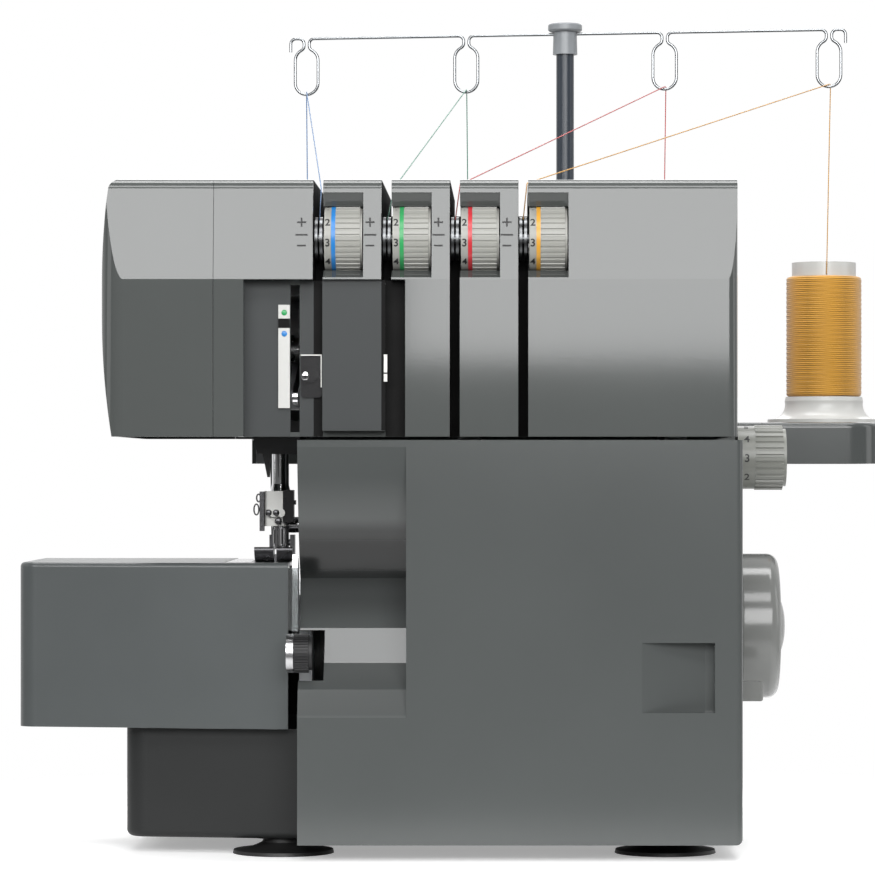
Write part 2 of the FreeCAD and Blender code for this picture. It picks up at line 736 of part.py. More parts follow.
# Cast inner frame: bed, two column walls, hollow arm, needle-plate bridge and looper wall
def frame_casting():
    outer_end = COLUMN_OUTER_END
    bed = box(NEEDLE_PLATE_LEFT - 5, outer_end, FRAME_FRONT, FRAME_BACK, FLOOR_TOP, BED_TOP)
    walls = [
        box(x, x + COLUMN_THICK, FRAME_FRONT, FRAME_BACK, BED_TOP - 0.5, ARM_BOTTOM + 0.5)
        for x in (COLUMN_INNER_X, COLUMN_OUTER_X)
    ]
    arm = box(ARM_LEFT, outer_end, ARM_FRONT, FRAME_BACK, ARM_BOTTOM, ARM_TOP)
    arm_room = box(
        ARM_LEFT + ARM_WALL, outer_end - ARM_WALL, ARM_FRONT - 1, FRAME_BACK - ARM_WALL,
        ARM_BOTTOM + ARM_WALL, ARM_TOP - ARM_WALL,
    )
    arm_web = box(
        COLUMN_INNER_X, COLUMN_INNER_X + COLUMN_THICK, ARM_FRONT + 10, FRAME_BACK - 1, ARM_BOTTOM + 1,
        ARM_TOP - 1
    )
    bridge_wall = box(
        NEEDLE_PLATE_LEFT, NEEDLE_PLATE_LEFT + 6, FRAME_FRONT, NEEDLE_PLATE_BACK, BED_TOP - 0.5, PLATE_UNDER
    )
    bridge = box(
        NEEDLE_PLATE_LEFT, PLATE_RIGHT, NEEDLE_PLATE_BACK - 12, NEEDLE_PLATE_BACK, PLATE_UNDER - 10,
        PLATE_UNDER
    )
    looper_wall = box(
        KNIFE_X + KNIFE_THICK + 1, COLUMN_INNER_X + 1, LOOPER_PLATE_Y, LOOPER_PLATE_Y + 8, BED_TOP - 0.5,
        UPPER_LOOPER_Z + 12,
    )
    knife_post = box(
        KNIFE_X + KNIFE_THICK + 0.4, KNIFE_X + KNIFE_THICK + 6, FRAME_FRONT, FRAME_FRONT + 12,
        BED_TOP - 0.5, PLATE_UNDER - 12
    )
    lifter_lug = box(
        NEEDLE_X - 14, NEEDLE_X - 8, LIFTER_Y - 7, LIFTER_Y + 7, LIFTER_Z - 7, ARM_BOTTOM + 0.5
    )
    frame = fuse(
        bed, *walls, arm.cut(arm_room), arm_web, bridge_wall, bridge, looper_wall, knife_post, lifter_lug
    )
    lever_notch = box(
        TAKE_UP_X - 3.0, TAKE_UP_X + 3.0, ARM_FRONT - 1, ARM_FRONT + 18.0, ARM_BOTTOM + 3.0,
        ARM_BOTTOM + ARM_WALL + 1
    )
    far = outer_end + 1
    return cut(
        frame,
        rod_x(COLUMN_INNER_X - 1, far, SHAFT_Y, SHAFT_Z, SHAFT_R + 4.0),
        rod_x(COLUMN_OUTER_X - 1, far, MOTOR_Y, MOTOR_Z, 8.0),
        rod_x(COLUMN_OUTER_X + 4, far, STITCH_Y, STITCH_Z, 4.0 + RUN),
        rod_x(COLUMN_OUTER_X + 3, far, LEVER_Y, LEVER_Z, 3.0 + RUN),
        rod_x(ARM_LEFT - 1, COLUMN_INNER_X + COLUMN_THICK + 1, ROCKER_Y, ROCKER_Z, ROCKER_R + RUN),
        rod_z(ARM_BOTTOM - 1, ARM_TOP + 1, NEEDLE_X, NEEDLE_Y, NEEDLE_BAR_R + RUN),
        rod_z(ARM_BOTTOM - 1, ARM_TOP + 1, NEEDLE_X, PRESSER_Y, PRESSER_R + RUN),
        rod_x(NEEDLE_X - 15, NEEDLE_X - 7, LIFTER_Y, LIFTER_Z, 3.0 + RUN),
        rod_y(LOOPER_PLATE_Y - 1, LOOPER_PLATE_Y + 9, LOWER_LOOPER_X, LOWER_LOOPER_Z, LOOPER_SHAFT_R + RUN),
        rod_y(LOOPER_PLATE_Y - 1, LOOPER_PLATE_Y + 9, UPPER_LOOPER_X, UPPER_LOOPER_Z, LOOPER_SHAFT_R + RUN),
        feed_bar(0.3, NEEDLE_PLATE_BACK - 13, NEEDLE_PLATE_BACK + 1),
        lever_notch,
    )


def shaft_bushings():
    return group(
        cut(
            rod_x(x, x + COLUMN_THICK, SHAFT_Y, SHAFT_Z, SHAFT_R + 4.0),
            rod_x(x - 1, x + COLUMN_THICK + 1, SHAFT_Y, SHAFT_Z, SHAFT_R + RUN),
        )
        for x in (COLUMN_INNER_X, COLUMN_OUTER_X)
    )


def main_shaft():
    shaft = rod_x(SHAFT_LEFT, WHEEL_X + 12, SHAFT_Y, SHAFT_Z, SHAFT_R)
    crank = rod_x(SHAFT_LEFT - 6, SHAFT_LEFT + 4, SHAFT_Y, SHAFT_Z, SHAFT_R + 9)
    pin = rod_x(SHAFT_LEFT - 14, SHAFT_LEFT - 5, SHAFT_Y + 9, SHAFT_Z, 4.0)
    return fuse(shaft, crank, pin)


def handwheel():
    face = WHEEL_X + WHEEL_WIDTH
    belt_end = PULLEY_X + PULLEY_WIDTH
    wheel = spin_x(
        [
            (PULLEY_X, 0.0),
            (PULLEY_X, PULLEY_R),
            (belt_end, PULLEY_R),
            (belt_end, 2 * SHAFT_R),
            (WHEEL_X, 2 * SHAFT_R),
            (WHEEL_X, WHEEL_R - 3.0),
            (WHEEL_X + 3.0, WHEEL_R, WHEEL_X + 0.9, WHEEL_R - 0.9),
            (face - 5.0, WHEEL_R),
            (face, WHEEL_R - 5.0, face - 1.5, WHEEL_R - 1.5),
            (face, 0.45 * WHEEL_R),
            (face + WHEEL_DOME, 0.05 * WHEEL_R, face + 0.75 * WHEEL_DOME, 0.26 * WHEEL_R),
            (face + WHEEL_DOME, 0.0),
        ],
        SHAFT_Y,
        SHAFT_Z,
    )
    return wheel.cut(rod_x(PULLEY_X - 1, WHEEL_X + 12, SHAFT_Y, SHAFT_Z, SHAFT_R))


def motor():
    end = COLUMN_OUTER_X
    body = rod_x(end - MOTOR_LENGTH, end, MOTOR_Y, MOTOR_Z, MOTOR_R)
    body = round_edges(body, 3.0, lambda b: b.XMax < end - MOTOR_LENGTH + 1)
    nose = rod_x(end - MOTOR_LENGTH - 6, end - MOTOR_LENGTH + 1, MOTOR_Y, MOTOR_Z, 7.0)
    return cut(fuse(body, nose), rod_x(end - 14, end + 1, MOTOR_Y, MOTOR_Z, 4.0 + RUN))


def motor_pulley():
    shaft = rod_x(COLUMN_OUTER_X - 13, PULLEY_X + 1, MOTOR_Y, MOTOR_Z, 4.0)
    return fuse(shaft, rod_x(PULLEY_X, PULLEY_X + PULLEY_WIDTH, MOTOR_Y, MOTOR_Z, MOTOR_PULLEY_R))


# Flat belt round two pulleys: two arcs joined by their outer tangents
def belt_loop(r_big, r_small, x0, x1):
    across = math.hypot(MOTOR_Y - SHAFT_Y, MOTOR_Z - SHAFT_Z)
    base = math.atan2(MOTOR_Z - SHAFT_Z, MOTOR_Y - SHAFT_Y)
    lean = math.acos((r_big - r_small) / across)

    def at(y, z, r, angle):
        return (y + r * math.cos(angle), z + r * math.sin(angle))

    a = at(SHAFT_Y, SHAFT_Z, r_big, base + lean)
    b = at(SHAFT_Y, SHAFT_Z, r_big, base - lean)
    far = at(SHAFT_Y, SHAFT_Z, r_big, base + math.pi)
    c = at(MOTOR_Y, MOTOR_Z, r_small, base - lean)
    d = at(MOTOR_Y, MOTOR_Z, r_small, base + lean)
    near = at(MOTOR_Y, MOTOR_Z, r_small, base)
    return prism_x([a, b + far, c, d + near], x0, x1)


def drive_belt():
    x0, x1 = PULLEY_X + 1, PULLEY_X + PULLEY_WIDTH - 1
    grow = BELT_GAP + BELT_THICK
    outer = belt_loop(PULLEY_R + grow, MOTOR_PULLEY_R + grow, x0, x1)
    return outer.cut(belt_loop(PULLEY_R + BELT_GAP, MOTOR_PULLEY_R + BELT_GAP, x0 - 1, x1 + 1))


# Needle bar with the grooved block that the rocker's pin runs in
def needle_bar():
    low = NEEDLE_CLAMP_Z + NEEDLE_CLAMP_HEIGHT
    groove = 2.9
    block = NEEDLE_BAR_R + 3.0
    corners = [
        (low, 0.0),
        (low, NEEDLE_BAR_R + 0.8),
        (low + 3.2, NEEDLE_BAR_R),
        (ROCKER_Z - groove - 3, NEEDLE_BAR_R),
        (ROCKER_Z - groove - 3, block),
        (ROCKER_Z - groove, block),
        (ROCKER_Z - groove, NEEDLE_BAR_R),
        (ROCKER_Z + groove, NEEDLE_BAR_R),
        (ROCKER_Z + groove, block),
        (ROCKER_Z + groove + 3, block),
        (ROCKER_Z + groove + 3, NEEDLE_BAR_R),
        (ARM_TOP + 8, NEEDLE_BAR_R),
        (ARM_TOP + 8, 0.0),
    ]
    return spin_z(corners, NEEDLE_X, NEEDLE_Y)


def needle_xs():
    return (NEEDLE_X - 1 - NEEDLE_PITCH / 2, NEEDLE_X - 1 + NEEDLE_PITCH / 2)


def needle_clamp():
    low, high = NEEDLE_CLAMP_Z, NEEDLE_CLAMP_Z + NEEDLE_CLAMP_HEIGHT
    block = box(NEEDLE_X - 6.9, NEEDLE_X + 3.0, NEEDLE_Y - 5, NEEDLE_Y + 4.5, low, high)
    block = round_edges(block, 1.5, lambda b: b.ZLength > 5)
    screws = [
        rod_y(NEEDLE_Y - 8, NEEDLE_Y - 4.9, x, low + 6.0, 1.9) for x in needle_xs()
    ]
    seats = [rod_z(low - 1, low + 8, x, NEEDLE_Y, 1.0) for x in needle_xs()]
    return cut(fuse(block, *screws), *seats)


def needles():
    top = NEEDLE_CLAMP_Z + 8
    corners = [
        (NEEDLE_TIP_Z, 0.0),
        (NEEDLE_TIP_Z + 3.5, 0.55),
        (NEEDLE_CLAMP_Z - 1.5, 0.6),
        (NEEDLE_CLAMP_Z - 0.5, 1.0),
        (top, 1.0),
        (top, 0.0),
    ]
    return group(spin_z(corners, x, NEEDLE_Y) for x in needle_xs())


# Rocking shaft with the arm that drives the needle bar; the arm's pin sits in the bar's groove
def rocker_shaft():
    shaft = rod_x(ARM_LEFT + 1, COLUMN_INNER_X + COLUMN_THICK, ROCKER_Y, ROCKER_Z, ROCKER_R)
    thick = 3.6
    side = NEEDLE_X - NEEDLE_BAR_R - 3.0 - MOVE - thick
    tip = ROCKER_Y - ROCKER_ARM
    arm = fuse(
        rod_x(side, side + thick, ROCKER_Y, ROCKER_Z, ROCKER_R + 4),
        rod_x(side, side + thick, tip, ROCKER_Z, 4.0),
        box(side, side + thick, tip, ROCKER_Y, ROCKER_Z - 3.5, ROCKER_Z + 3.5),
    )
    pin = rod_x(side + thick - 1, NEEDLE_X - NEEDLE_BAR_R - MOVE, tip, ROCKER_Z, 2.0)
    return fuse(shaft, arm, pin)


# Long thin lever with a threading eye, drooping at rest to stand low in its slot
def take_up_lever():
    x0, x1 = TAKE_UP_X - 1.1, TAKE_UP_X + 1.1
    hub = rod_x(x0 - 2, x1 + 2, ROCKER_Y, ROCKER_Z, ROCKER_R + 4)
    tip = ROCKER_Y - TAKE_UP_LENGTH
    blade = prism_x(
        [
            (ROCKER_Y, ROCKER_Z - 6),
            (tip + 4, ROCKER_Z - 3),
            (tip + 4, ROCKER_Z + 3, tip + 1, ROCKER_Z),
            (ROCKER_Y, ROCKER_Z + 6),
        ],
        x0,
        x1,
    )
    eye = rod_x(x0 - 1, x1 + 1, tip + 5, ROCKER_Z, 1.2)
    lever = cut(fuse(hub, blade), eye, rod_x(x0 - 5, x1 + 5, ROCKER_Y, ROCKER_Z, ROCKER_R))
    lever.rotate(vec(0, ROCKER_Y, ROCKER_Z), vec(1, 0, 0), TAKE_UP_DROP)
    return lever


def presser_bar():
    return rod_z(PLATE_TOP + 20.0, ARM_TOP + 10, NEEDLE_X, PRESSER_Y, PRESSER_R)


FOOT_PIVOT_Z = PLATE_TOP + 8.0


def presser_ankle():
    low = FOOT_PIVOT_Z - 3.0
    block = box(NEEDLE_X - 3.2, NEEDLE_X + 3.2, PRESSER_Y - 6, PRESSER_Y + 5, low, PLATE_TOP + 20.0)
    block = round_edges(block, 1.2, lambda b: b.ZLength > 5)
    screw = rod_x(NEEDLE_X + 3.1, NEEDLE_X + 9, PRESSER_Y, PLATE_TOP + 16.0, 3.6)
    return cut(fuse(block, screw), rod_x(NEEDLE_X - 9, NEEDLE_X + 9, PRESSER_Y, FOOT_PIVOT_Z, 1.5 + RUN))


# Presser foot: sole with upturned toes, needle opening and two ears that hold its pivot pin
def presser_foot():
    left, right = NEEDLE_X - 10.5, NEEDLE_X + 6.6
    toe, heel = PRESSER_Y - 36, PRESSER_Y + 12
    low = PLATE_TOP + 0.02
    sole = prism_x(
        [
            (toe, low + 5.0, toe + 3.0, low + 1.7),
            (toe + 1.5, low + 6.5, toe + 0.2, low + 6.1),
            (toe + 12, low + 2.4, toe + 6.0, low + 3.2),
            (heel, low + 2.4),
            (heel, low),
            (toe + 8, low),
        ],
        left,
        right,
    )
    ears = [
        box(x, x + 2.0, PRESSER_Y - 4, PRESSER_Y + 4, low + 1, FOOT_PIVOT_Z + 3.5)
        for x in (NEEDLE_X - 3.2 - 2.0 - MOVE, NEEDLE_X + 3.2 + MOVE)
    ]
    pin = rod_x(NEEDLE_X - 5.0, NEEDLE_X + 5.0, PRESSER_Y, FOOT_PIVOT_Z, 1.5)
    opening = box(NEEDLE_X - 5.5, NEEDLE_X + 3.2, NEEDLE_Y - 5, NEEDLE_Y + 4, low - 1, low + 8)
    toes = box(NEEDLE_X - 2.0, NEEDLE_X - 0.6, toe - 1, NEEDLE_Y - 9, low - 1, low + 9)
    return cut(fuse(sole, *ears, pin), opening, toes)


def presser_lifter():
    x0, x1 = NEEDLE_X - 8 + 0.4, NEEDLE_X - 2.5
    hub = rod_x(x0, x1, LIFTER_Y, LIFTER_Z, 7.0)
    pin = rod_x(NEEDLE_X - 14, x0 + 1, LIFTER_Y, LIFTER_Z, 3.0)
    handle = prism_x(
        [
            (LIFTER_Y - 4, LIFTER_Z),
            (LIFTER_Y + 4, LIFTER_Z - LIFTER_LENGTH + 4),
            (LIFTER_Y + 12, LIFTER_Z - LIFTER_LENGTH + 4, LIFTER_Y + 8, LIFTER_Z - LIFTER_LENGTH),
            (LIFTER_Y + 4, LIFTER_Z),
        ],
        x0,
        x1,
    )
    return fuse(hub, pin, handle)


def needle_plate():
    plate = box(
        NEEDLE_PLATE_LEFT, PLATE_RIGHT, NEEDLE_PLATE_FRONT, NEEDLE_PLATE_BACK, PLATE_UNDER, PLATE_TOP
    )
    needle_hole = box(
        NEEDLE_X - 5.0, PLATE_RIGHT + 1, NEEDLE_Y - 3, NEEDLE_Y + 8, PLATE_UNDER - 1, PLATE_TOP + 1
    )
    finger = box(
        NEEDLE_X + 1.6, PLATE_RIGHT + 1, NEEDLE_Y - 1, NEEDLE_Y + 9, PLATE_UNDER - 1, PLATE_TOP + 1
    )
    row = FEED_WIDTH / 2 + 0.6
    feed_slot = box(
        FEED_X - row, FEED_X + row, feed_front() - FEED_TRAVEL - 1, feed_back() + FEED_TRAVEL + 1,
        PLATE_UNDER - 1, PLATE_TOP + 1
    )
    return cut(plate, needle_hole, finger, feed_slot)


def feed_front():
    return NEEDLE_Y - 12


def feed_back():
    return NEEDLE_Y + 20


def feed_bar(grow, y0, y1):
    half = FEED_WIDTH / 2 + grow
    return box(FEED_X - half, FEED_X + half, y0, y1, PLATE_UNDER - 8 - grow, PLATE_UNDER - 3 + grow)


# Feed dogs: a toothed row standing on a bar that slides through the bridge
def feed_dogs():
    teeth_low = PLATE_TOP - 1.0
    pitch = (feed_back() - feed_front()) / 16
    corners = [(feed_front(), PLATE_UNDER - 3.5)]
    for k in range(16):
        corners.append((feed_front() + pitch * k, teeth_low))
        corners.append((feed_front() + pitch * (k + 0.9), PLATE_TOP - 0.15))
    corners.append((feed_back(), teeth_low))
    corners.append((feed_back(), PLATE_UNDER - 3.5))
    rows = [
        prism_x(corners, x - 1.1, x + 1.1) for x in (
            FEED_X - FEED_WIDTH / 2 + 1.1, FEED_X + FEED_WIDTH / 2 - 1.1
        )
    ]
    return fuse(feed_bar(0.0, feed_front(), NEEDLE_PLATE_BACK + 6), *rows)


# Fixed lower knife beside the needle plate, screwed to its post
def lower_knife():
    x0 = KNIFE_X + KNIFE_THICK + 0.4
    return prism_x(
        [
            (FRAME_FRONT, PLATE_UNDER - 12),
            (FRAME_FRONT + 12, PLATE_UNDER - 12),
            (FRAME_FRONT + 10, PLATE_TOP - 0.3),
            (FRAME_FRONT + 2, PLATE_TOP - 0.3),
        ],
        x0,
        x0 + 2.0,
    )


# Upper knife on a bent arm that turns about the knob's axis
def upper_knife():
    x0, x1 = KNIFE_X, KNIFE_X + KNIFE_THICK
    arm = prism_x(
        [
            (KNOB_Y, KNOB_Z - 6),
            (KNOB_Y + 30, KNOB_Z - 5),
            (KNOB_Y + 41, KNOB_Z + 10, KNOB_Y + 39, KNOB_Z - 1),
            (KNOB_Y + 43, PLATE_TOP - 1.5),
            (KNOB_Y + 33, PLATE_TOP + 3.5),
            (KNOB_Y + 30, KNOB_Z + 12),
            (KNOB_Y + 24, KNOB_Z + 6, KNOB_Y + 28, KNOB_Z + 7.5),
            (KNOB_Y, KNOB_Z + 6),
        ],
        x0,
        x1,
    )
    hub = rod_x(x0 - 0.6, x1, KNOB_Y, KNOB_Z, KNOB_R)
    pivot = rod_x(x1 - 1, x1 + KNOB_LENGTH - 2, KNOB_Y, KNOB_Z, 2.5)
    return fuse(arm, hub, pivot)


def knife_knob():
    x0 = KNIFE_X + KNIFE_THICK + 0.3
    x1 = x0 + KNOB_LENGTH
    grip = fluted(x0, x1 - 1.5, KNOB_Y, KNOB_Z, KNOB_R, 0.35, 40)
    cap = rod_x(x1 - 1.6, x1, KNOB_Y, KNOB_Z, KNOB_R - 1.2)
    return cut(fuse(grip, cap), rod_x(x0 - 1, x1 - 2, KNOB_Y, KNOB_Z, 2.5 + RUN))


# Cloth plate: a flat top with a deep front apron and left side, swept back to the left
def cloth_plate():
    sweep = math.tan(math.radians(PLAN_SWEEP))
    corner = 8.0

    def plan(inset, low, high, far):
        left = PLATE_LEFT + inset
        front = PLATE_FRONT + inset
        front_left = front + sweep * (PLATE_RIGHT - left - corner)
        corners = [
            (far, PLATE_BACK),
            (left, PLATE_BACK),
            (left, front_left + corner),
            (left + corner, front_left, left + 0.3 * corner, front_left + 0.3 * corner),
            (PLATE_RIGHT, front),
        ]
        if far > PLATE_RIGHT:
            corners.append((far, front))
        return prism_z(corners, low, high)

    outer = plan(0.0, APRON_BOTTOM, PLATE_TOP, PLATE_RIGHT)
    outer = round_edges(
        outer, 2.0,
        lambda b: b.ZMin > PLATE_TOP - 0.1 and b.YMax < PLATE_BACK - 1 and b.XMin < PLATE_RIGHT - 5
    )
    room = plan(WALL, APRON_BOTTOM - 1, PLATE_UNDER, PLATE_RIGHT + 1)
    back_room = box(
        PLATE_LEFT - 1, PLATE_RIGHT + 1, PLATE_BACK - 1, PLATE_BACK + 1, APRON_BOTTOM - 1, PLATE_UNDER
    )
    window = box(
        NEEDLE_PLATE_LEFT - MOVE, PLATE_RIGHT + 1, NEEDLE_PLATE_FRONT - MOVE, PLATE_BACK + 1,
        PLATE_UNDER - 1, PLATE_TOP + 1
    )
    boss = rod_z(PLATE_UNDER - 6.5, PLATE_UNDER + 0.5, PLATE_PIVOT_X, PLATE_PIVOT_Y, 7.0)
    plate = fuse(cut(outer, room, back_room, window), boss)
    return cut(plate, rod_z(PLATE_UNDER - 8, PLATE_UNDER, PLATE_PIVOT_X, PLATE_PIVOT_Y, PLATE_PIN_R + RUN))


# Clear guard in the gap between cloth plate and front cover
def chip_guard():
    low = KNOB_Z + KNOB_R + 2 * MOVE
    return box(PLATE_RIGHT, FRONT_LEFT - MOVE, PLATE_FRONT, PLATE_FRONT + 2.2, low, PLATE_TOP - 2)


# Curved looper arm on a shaft along Y; lean is the side that the hooked tip points to
def looper(x, z, y, tip_x, tip_z):
    shaft = rod_y(y, LOOPER_PLATE_Y + 12, x, z, LOOPER_SHAFT_R)
    hub = rod_y(y, y + LOOPER_THICK + 1.5, x, z, LOOPER_SHAFT_R + 4)
    bow = 6.0
    middle = (0.5 * (x + tip_x) + bow, 0.5 * (z + tip_z))
    blade = prism_y(
        [
            (x - 4, z),
            (tip_x + 2, tip_z - 5, middle[0] - 3.5, middle[1]),
            (tip_x - 14, tip_z + 1.0),
            (tip_x + 4, tip_z),
            (x + 4, z, middle[0] + 3.5, middle[1]),
        ],
        y,
        y + LOOPER_THICK,
    )
    return fuse(shaft, hub, blade)


def lower_looper():
    return looper(LOWER_LOOPER_X, LOWER_LOOPER_Z, LOOPER_Y, LOWER_LOOPER_X - 8, PLATE_UNDER - 14)


def upper_looper():
    return looper(
        UPPER_LOOPER_X, UPPER_LOOPER_Z, LOOPER_Y + LOOPER_THICK + 2.2, UPPER_LOOPER_X - 4, PLATE_UNDER - 6
    )


def tension_dial(x):
    x0, x1 = dial_left(x), dial_right(x)
    numbers = rod_x(x0, x0 + 3.0, DIAL_Y, DIAL_Z, DIAL_R - 0.4)
    colour_ring = rod_x(x0 + 2.9, x0 + 5.0, DIAL_Y, DIAL_Z, DIAL_R - 0.1)
    grip = fluted(x0 + 4.9, x1 - 1.0, DIAL_Y, DIAL_Z, DIAL_R, 0.5, DIAL_FLUTES)
    rim = rod_x(x1 - 1.1, x1, DIAL_Y, DIAL_Z, DIAL_R - 1.0)
    bore = rod_x(x0 - 1, x1 + 1, DIAL_Y, DIAL_Z, POST_R + RUN)
    return cut(fuse(numbers, colour_ring, grip, rim), bore)


# Each tension post carries a pair of dished discs in its slot and runs on through the dial
def tension_discs():
    pieces = []
    for x in SLOTS:
        slot = SLOT_WIDTH / 2
        gap = 0.45
        post = rod_x(x - slot, dial_right(x) + MOVE, DIAL_Y, DIAL_Z, POST_R)
        left = rod_x(x - gap - DISC_THICK, x - gap, DIAL_Y, DIAL_Z, DISC_R)
        right = rod_x(x + gap, x + gap + DISC_THICK, DIAL_Y, DIAL_Z, DISC_R)
        pieces.append(fuse(post, left, right))
    return group(pieces)


# White thread plate beside the take-up slot
def take_up_guide():
    right = TAKE_UP_X - TAKE_UP_SLOT / 2 - 0.2
    y0, y1 = RECESS_DEPTH - 1.8, RECESS_DEPTH
    low = HEAD_BOTTOM + 12.5
    strip = box(right - 5.0, right, y0, y1, low, low + 35.0)
    tab = box(right - 5.0, right, y0, y1, low + 39.0, low + 45.0)
    spine = box(right - 5.0, right - 3.6, y0, y1, low + 34.0, low + 40.0)
    return fuse(strip, tab, spine)


def thread_clip():
    left = TAKE_UP_X + TAKE_UP_SLOT / 2 + 0.6
    low = HEAD_BOTTOM + 17.0
    plate = box(left, left + 9.2, RECESS_DEPTH - 1.2, RECESS_DEPTH, low, low + 18.8)
    screw = rod_y(RECESS_DEPTH - 2.8, RECESS_DEPTH - 1.1, left + 4.2, low + 9.6, 3.0)
    return fuse(round_edges(plate, 1.5, lambda b: b.YLength > 1), screw)


def stitch_length_dial():
    x0 = FRONT_RIGHT + MOVE
    x1 = x0 + STITCH_WIDTH
    shaft = rod_x(COLUMN_OUTER_X + 5, x0 + 1, STITCH_Y, STITCH_Z, 4.0)
    skirt = rod_x(x0, x0 + 8.0, STITCH_Y, STITCH_Z, STITCH_R - 0.4)
    grip = fluted(x0 + 7.9, x1 - 1.5, STITCH_Y, STITCH_Z, STITCH_R, 0.6, 30)
    end = rod_x(x1 - 1.6, x1, STITCH_Y, STITCH_Z, STITCH_R - 1.6)
    return fuse(shaft, skirt, grip, end)


def differential_lever():
    x0 = COLUMN_OUTER_END + 1.0
    tab_y = LEVER_Y - LEVER_REACH
    pin = rod_x(COLUMN_OUTER_X + 4, x0 + 1, LEVER_Y, LEVER_Z, 3.0)
    hub = rod_x(x0, x0 + 3, LEVER_Y, LEVER_Z, 6.0)
    arm = box(x0, x0 + 3, tab_y, LEVER_Y, LEVER_Z - 3.5, LEVER_Z + 3.5)
    tab = box(
        x0, FRONT_RIGHT + LEVER_TAB_OUT, tab_y - LEVER_TAB_WIDTH / 2, tab_y + LEVER_TAB_WIDTH / 2,
        LEVER_Z - LEVER_TAB_HEIGHT / 2, LEVER_Z + LEVER_TAB_HEIGHT / 2,
    )
    tab = round_edges(tab, 1.2, lambda b: b.XMin > FRONT_RIGHT)
    return fuse(pin, hub, arm, tab)


def spool_xs():
    return [STAND_CENTRE_X + offset for offset in SPOOL_OFFSETS]


# Spool stand: a shallow tray, hollow below, hung on the rear cover
def spool_stand():
    half = STAND_WIDTH / 2
    left, right = STAND_CENTRE_X - half, STAND_CENTRE_X + half
    back = BODY_DEPTH + STAND_DEPTH
    slab = box(left, right, BODY_DEPTH, back, STAND_BOTTOM, STAND_TOP)
    slab = round_edges(slab, 18.0, lambda b: b.ZLength > 10)
    slab = round_edges(slab, 2.5, lambda b: b.ZMin > STAND_TOP - 0.1)
    hollow = box(left + 6, right - 6, BODY_DEPTH + 6, back - 6, STAND_BOTTOM - 1, STAND_TOP - 3.5)
    hollow = round_edges(hollow, 14.0, lambda b: b.ZLength > 10)
    lifter_room = box(
        NEEDLE_X - 20, NEEDLE_X + 3, BODY_DEPTH - 5, BODY_DEPTH + 20, STAND_BOTTOM - 1, STAND_BOTTOM + 11
    )
    seats = [rod_z(STAND_TOP - 4, STAND_TOP + 1, x, SPOOL_Y, PIN_R) for x in spool_xs()]
    mast = rod_z(STAND_TOP - 4, STAND_TOP + 1, STAND_CENTRE_X, SPOOL_Y, MAST_R)
    socket = rod_z(STAND_TOP - 14, STAND_TOP - 3, STAND_CENTRE_X, SPOOL_Y, MAST_R + 4)
    socket = socket.cut(rod_z(STAND_TOP - 12, STAND_TOP, STAND_CENTRE_X, SPOOL_Y, MAST_R))
    return cut(fuse(slab.cut(hollow), socket), mast, lifter_room, *seats)


def spool_pins():
    low = STAND_TOP - 3.5
    return group(rod_z(low, HOLDER_TOP + CORE_HEIGHT - 8, x, SPOOL_Y, PIN_R) for x in spool_xs())


def cone_holders():
    corners = [
        (STAND_TOP, PIN_R),
        (STAND_TOP, HOLDER_R),
        (STAND_TOP + 2.2, HOLDER_R),
        (HOLDER_TOP - 2.0, CORE_R + 3.5, STAND_TOP + 5.0, HOLDER_R - 7.0),
        (HOLDER_TOP, CORE_R + 3.0),
        (HOLDER_TOP, PIN_R),
    ]
    return group(spin_z(corners, x, SPOOL_Y) for x in spool_xs())


def spool_cores():
    top = HOLDER_TOP + CORE_HEIGHT
    corners = [
        (HOLDER_TOP, CORE_R - CORE_WALL),
        (HOLDER_TOP, CORE_R),
        (top, CORE_R),
        (top, PIN_R + 0.5),
        (top - CORE_WALL, PIN_R + 0.5),
        (top - CORE_WALL, CORE_R - CORE_WALL),
    ]
    return group(spin_z(corners, x, SPOOL_Y) for x in spool_xs())


# Wound thread package with softly crowned ends
def thread_package(x):
    top = HOLDER_TOP + PACKAGE_HEIGHT
    corners = [
        (HOLDER_TOP, CORE_R),
        (HOLDER_TOP, PACKAGE_R - 1.5),
        (HOLDER_TOP + 1.5, PACKAGE_R, HOLDER_TOP + 0.45, PACKAGE_R - 0.45),
        (top - 2.0, PACKAGE_R),
        (top, PACKAGE_R - 2.0, top - 0.6, PACKAGE_R - 0.6),
        (top, CORE_R),
    ]
    return spin_z(corners, x, SPOOL_Y)


def antenna_lower_tube():
    low = STAND_TOP - 12
    tube = rod_z(low, MAST_TOP, STAND_CENTRE_X, SPOOL_Y, MAST_R)
    return tube.cut(rod_z(low + 2, MAST_TOP + 1, STAND_CENTRE_X, SPOOL_Y, MAST_R - MAST_WALL))


def antenna_upper_tube():
    return rod_z(TUBE_BOTTOM, TUBE_TOP, STAND_CENTRE_X, SPOOL_Y, MAST_R - MAST_WALL - RUN)


def antenna_cap():
    top = TUBE_TOP + CAP_HEIGHT
    tube = MAST_R - MAST_WALL - RUN
    corners = [
        (TUBE_TOP, 0.0),
        (TUBE_TOP, tube + 1.7),
        (top - 4.0, tube + 1.4),
        (top - 3.0, CAP_R, top - 3.6, CAP_R - 0.6),
        (top - 0.8, CAP_R),
        (top, CAP_R - 1.5, top - 0.2, CAP_R - 0.4),
        (top, 0.0),
    ]
    cap = spin_z(corners, STAND_CENTRE_X, SPOOL_Y)
    return cap.cut(turned(rod_x(STAND_CENTRE_X - 20, STAND_CENTRE_X + 20, SPOOL_Y, GUIDE_Z, GUIDE_WIRE_R)))


def turned(shape):
    shape.rotate(vec(STAND_CENTRE_X, SPOOL_Y, 0), vec(0, 0, 1), -GUIDE_YAW)
    return shape


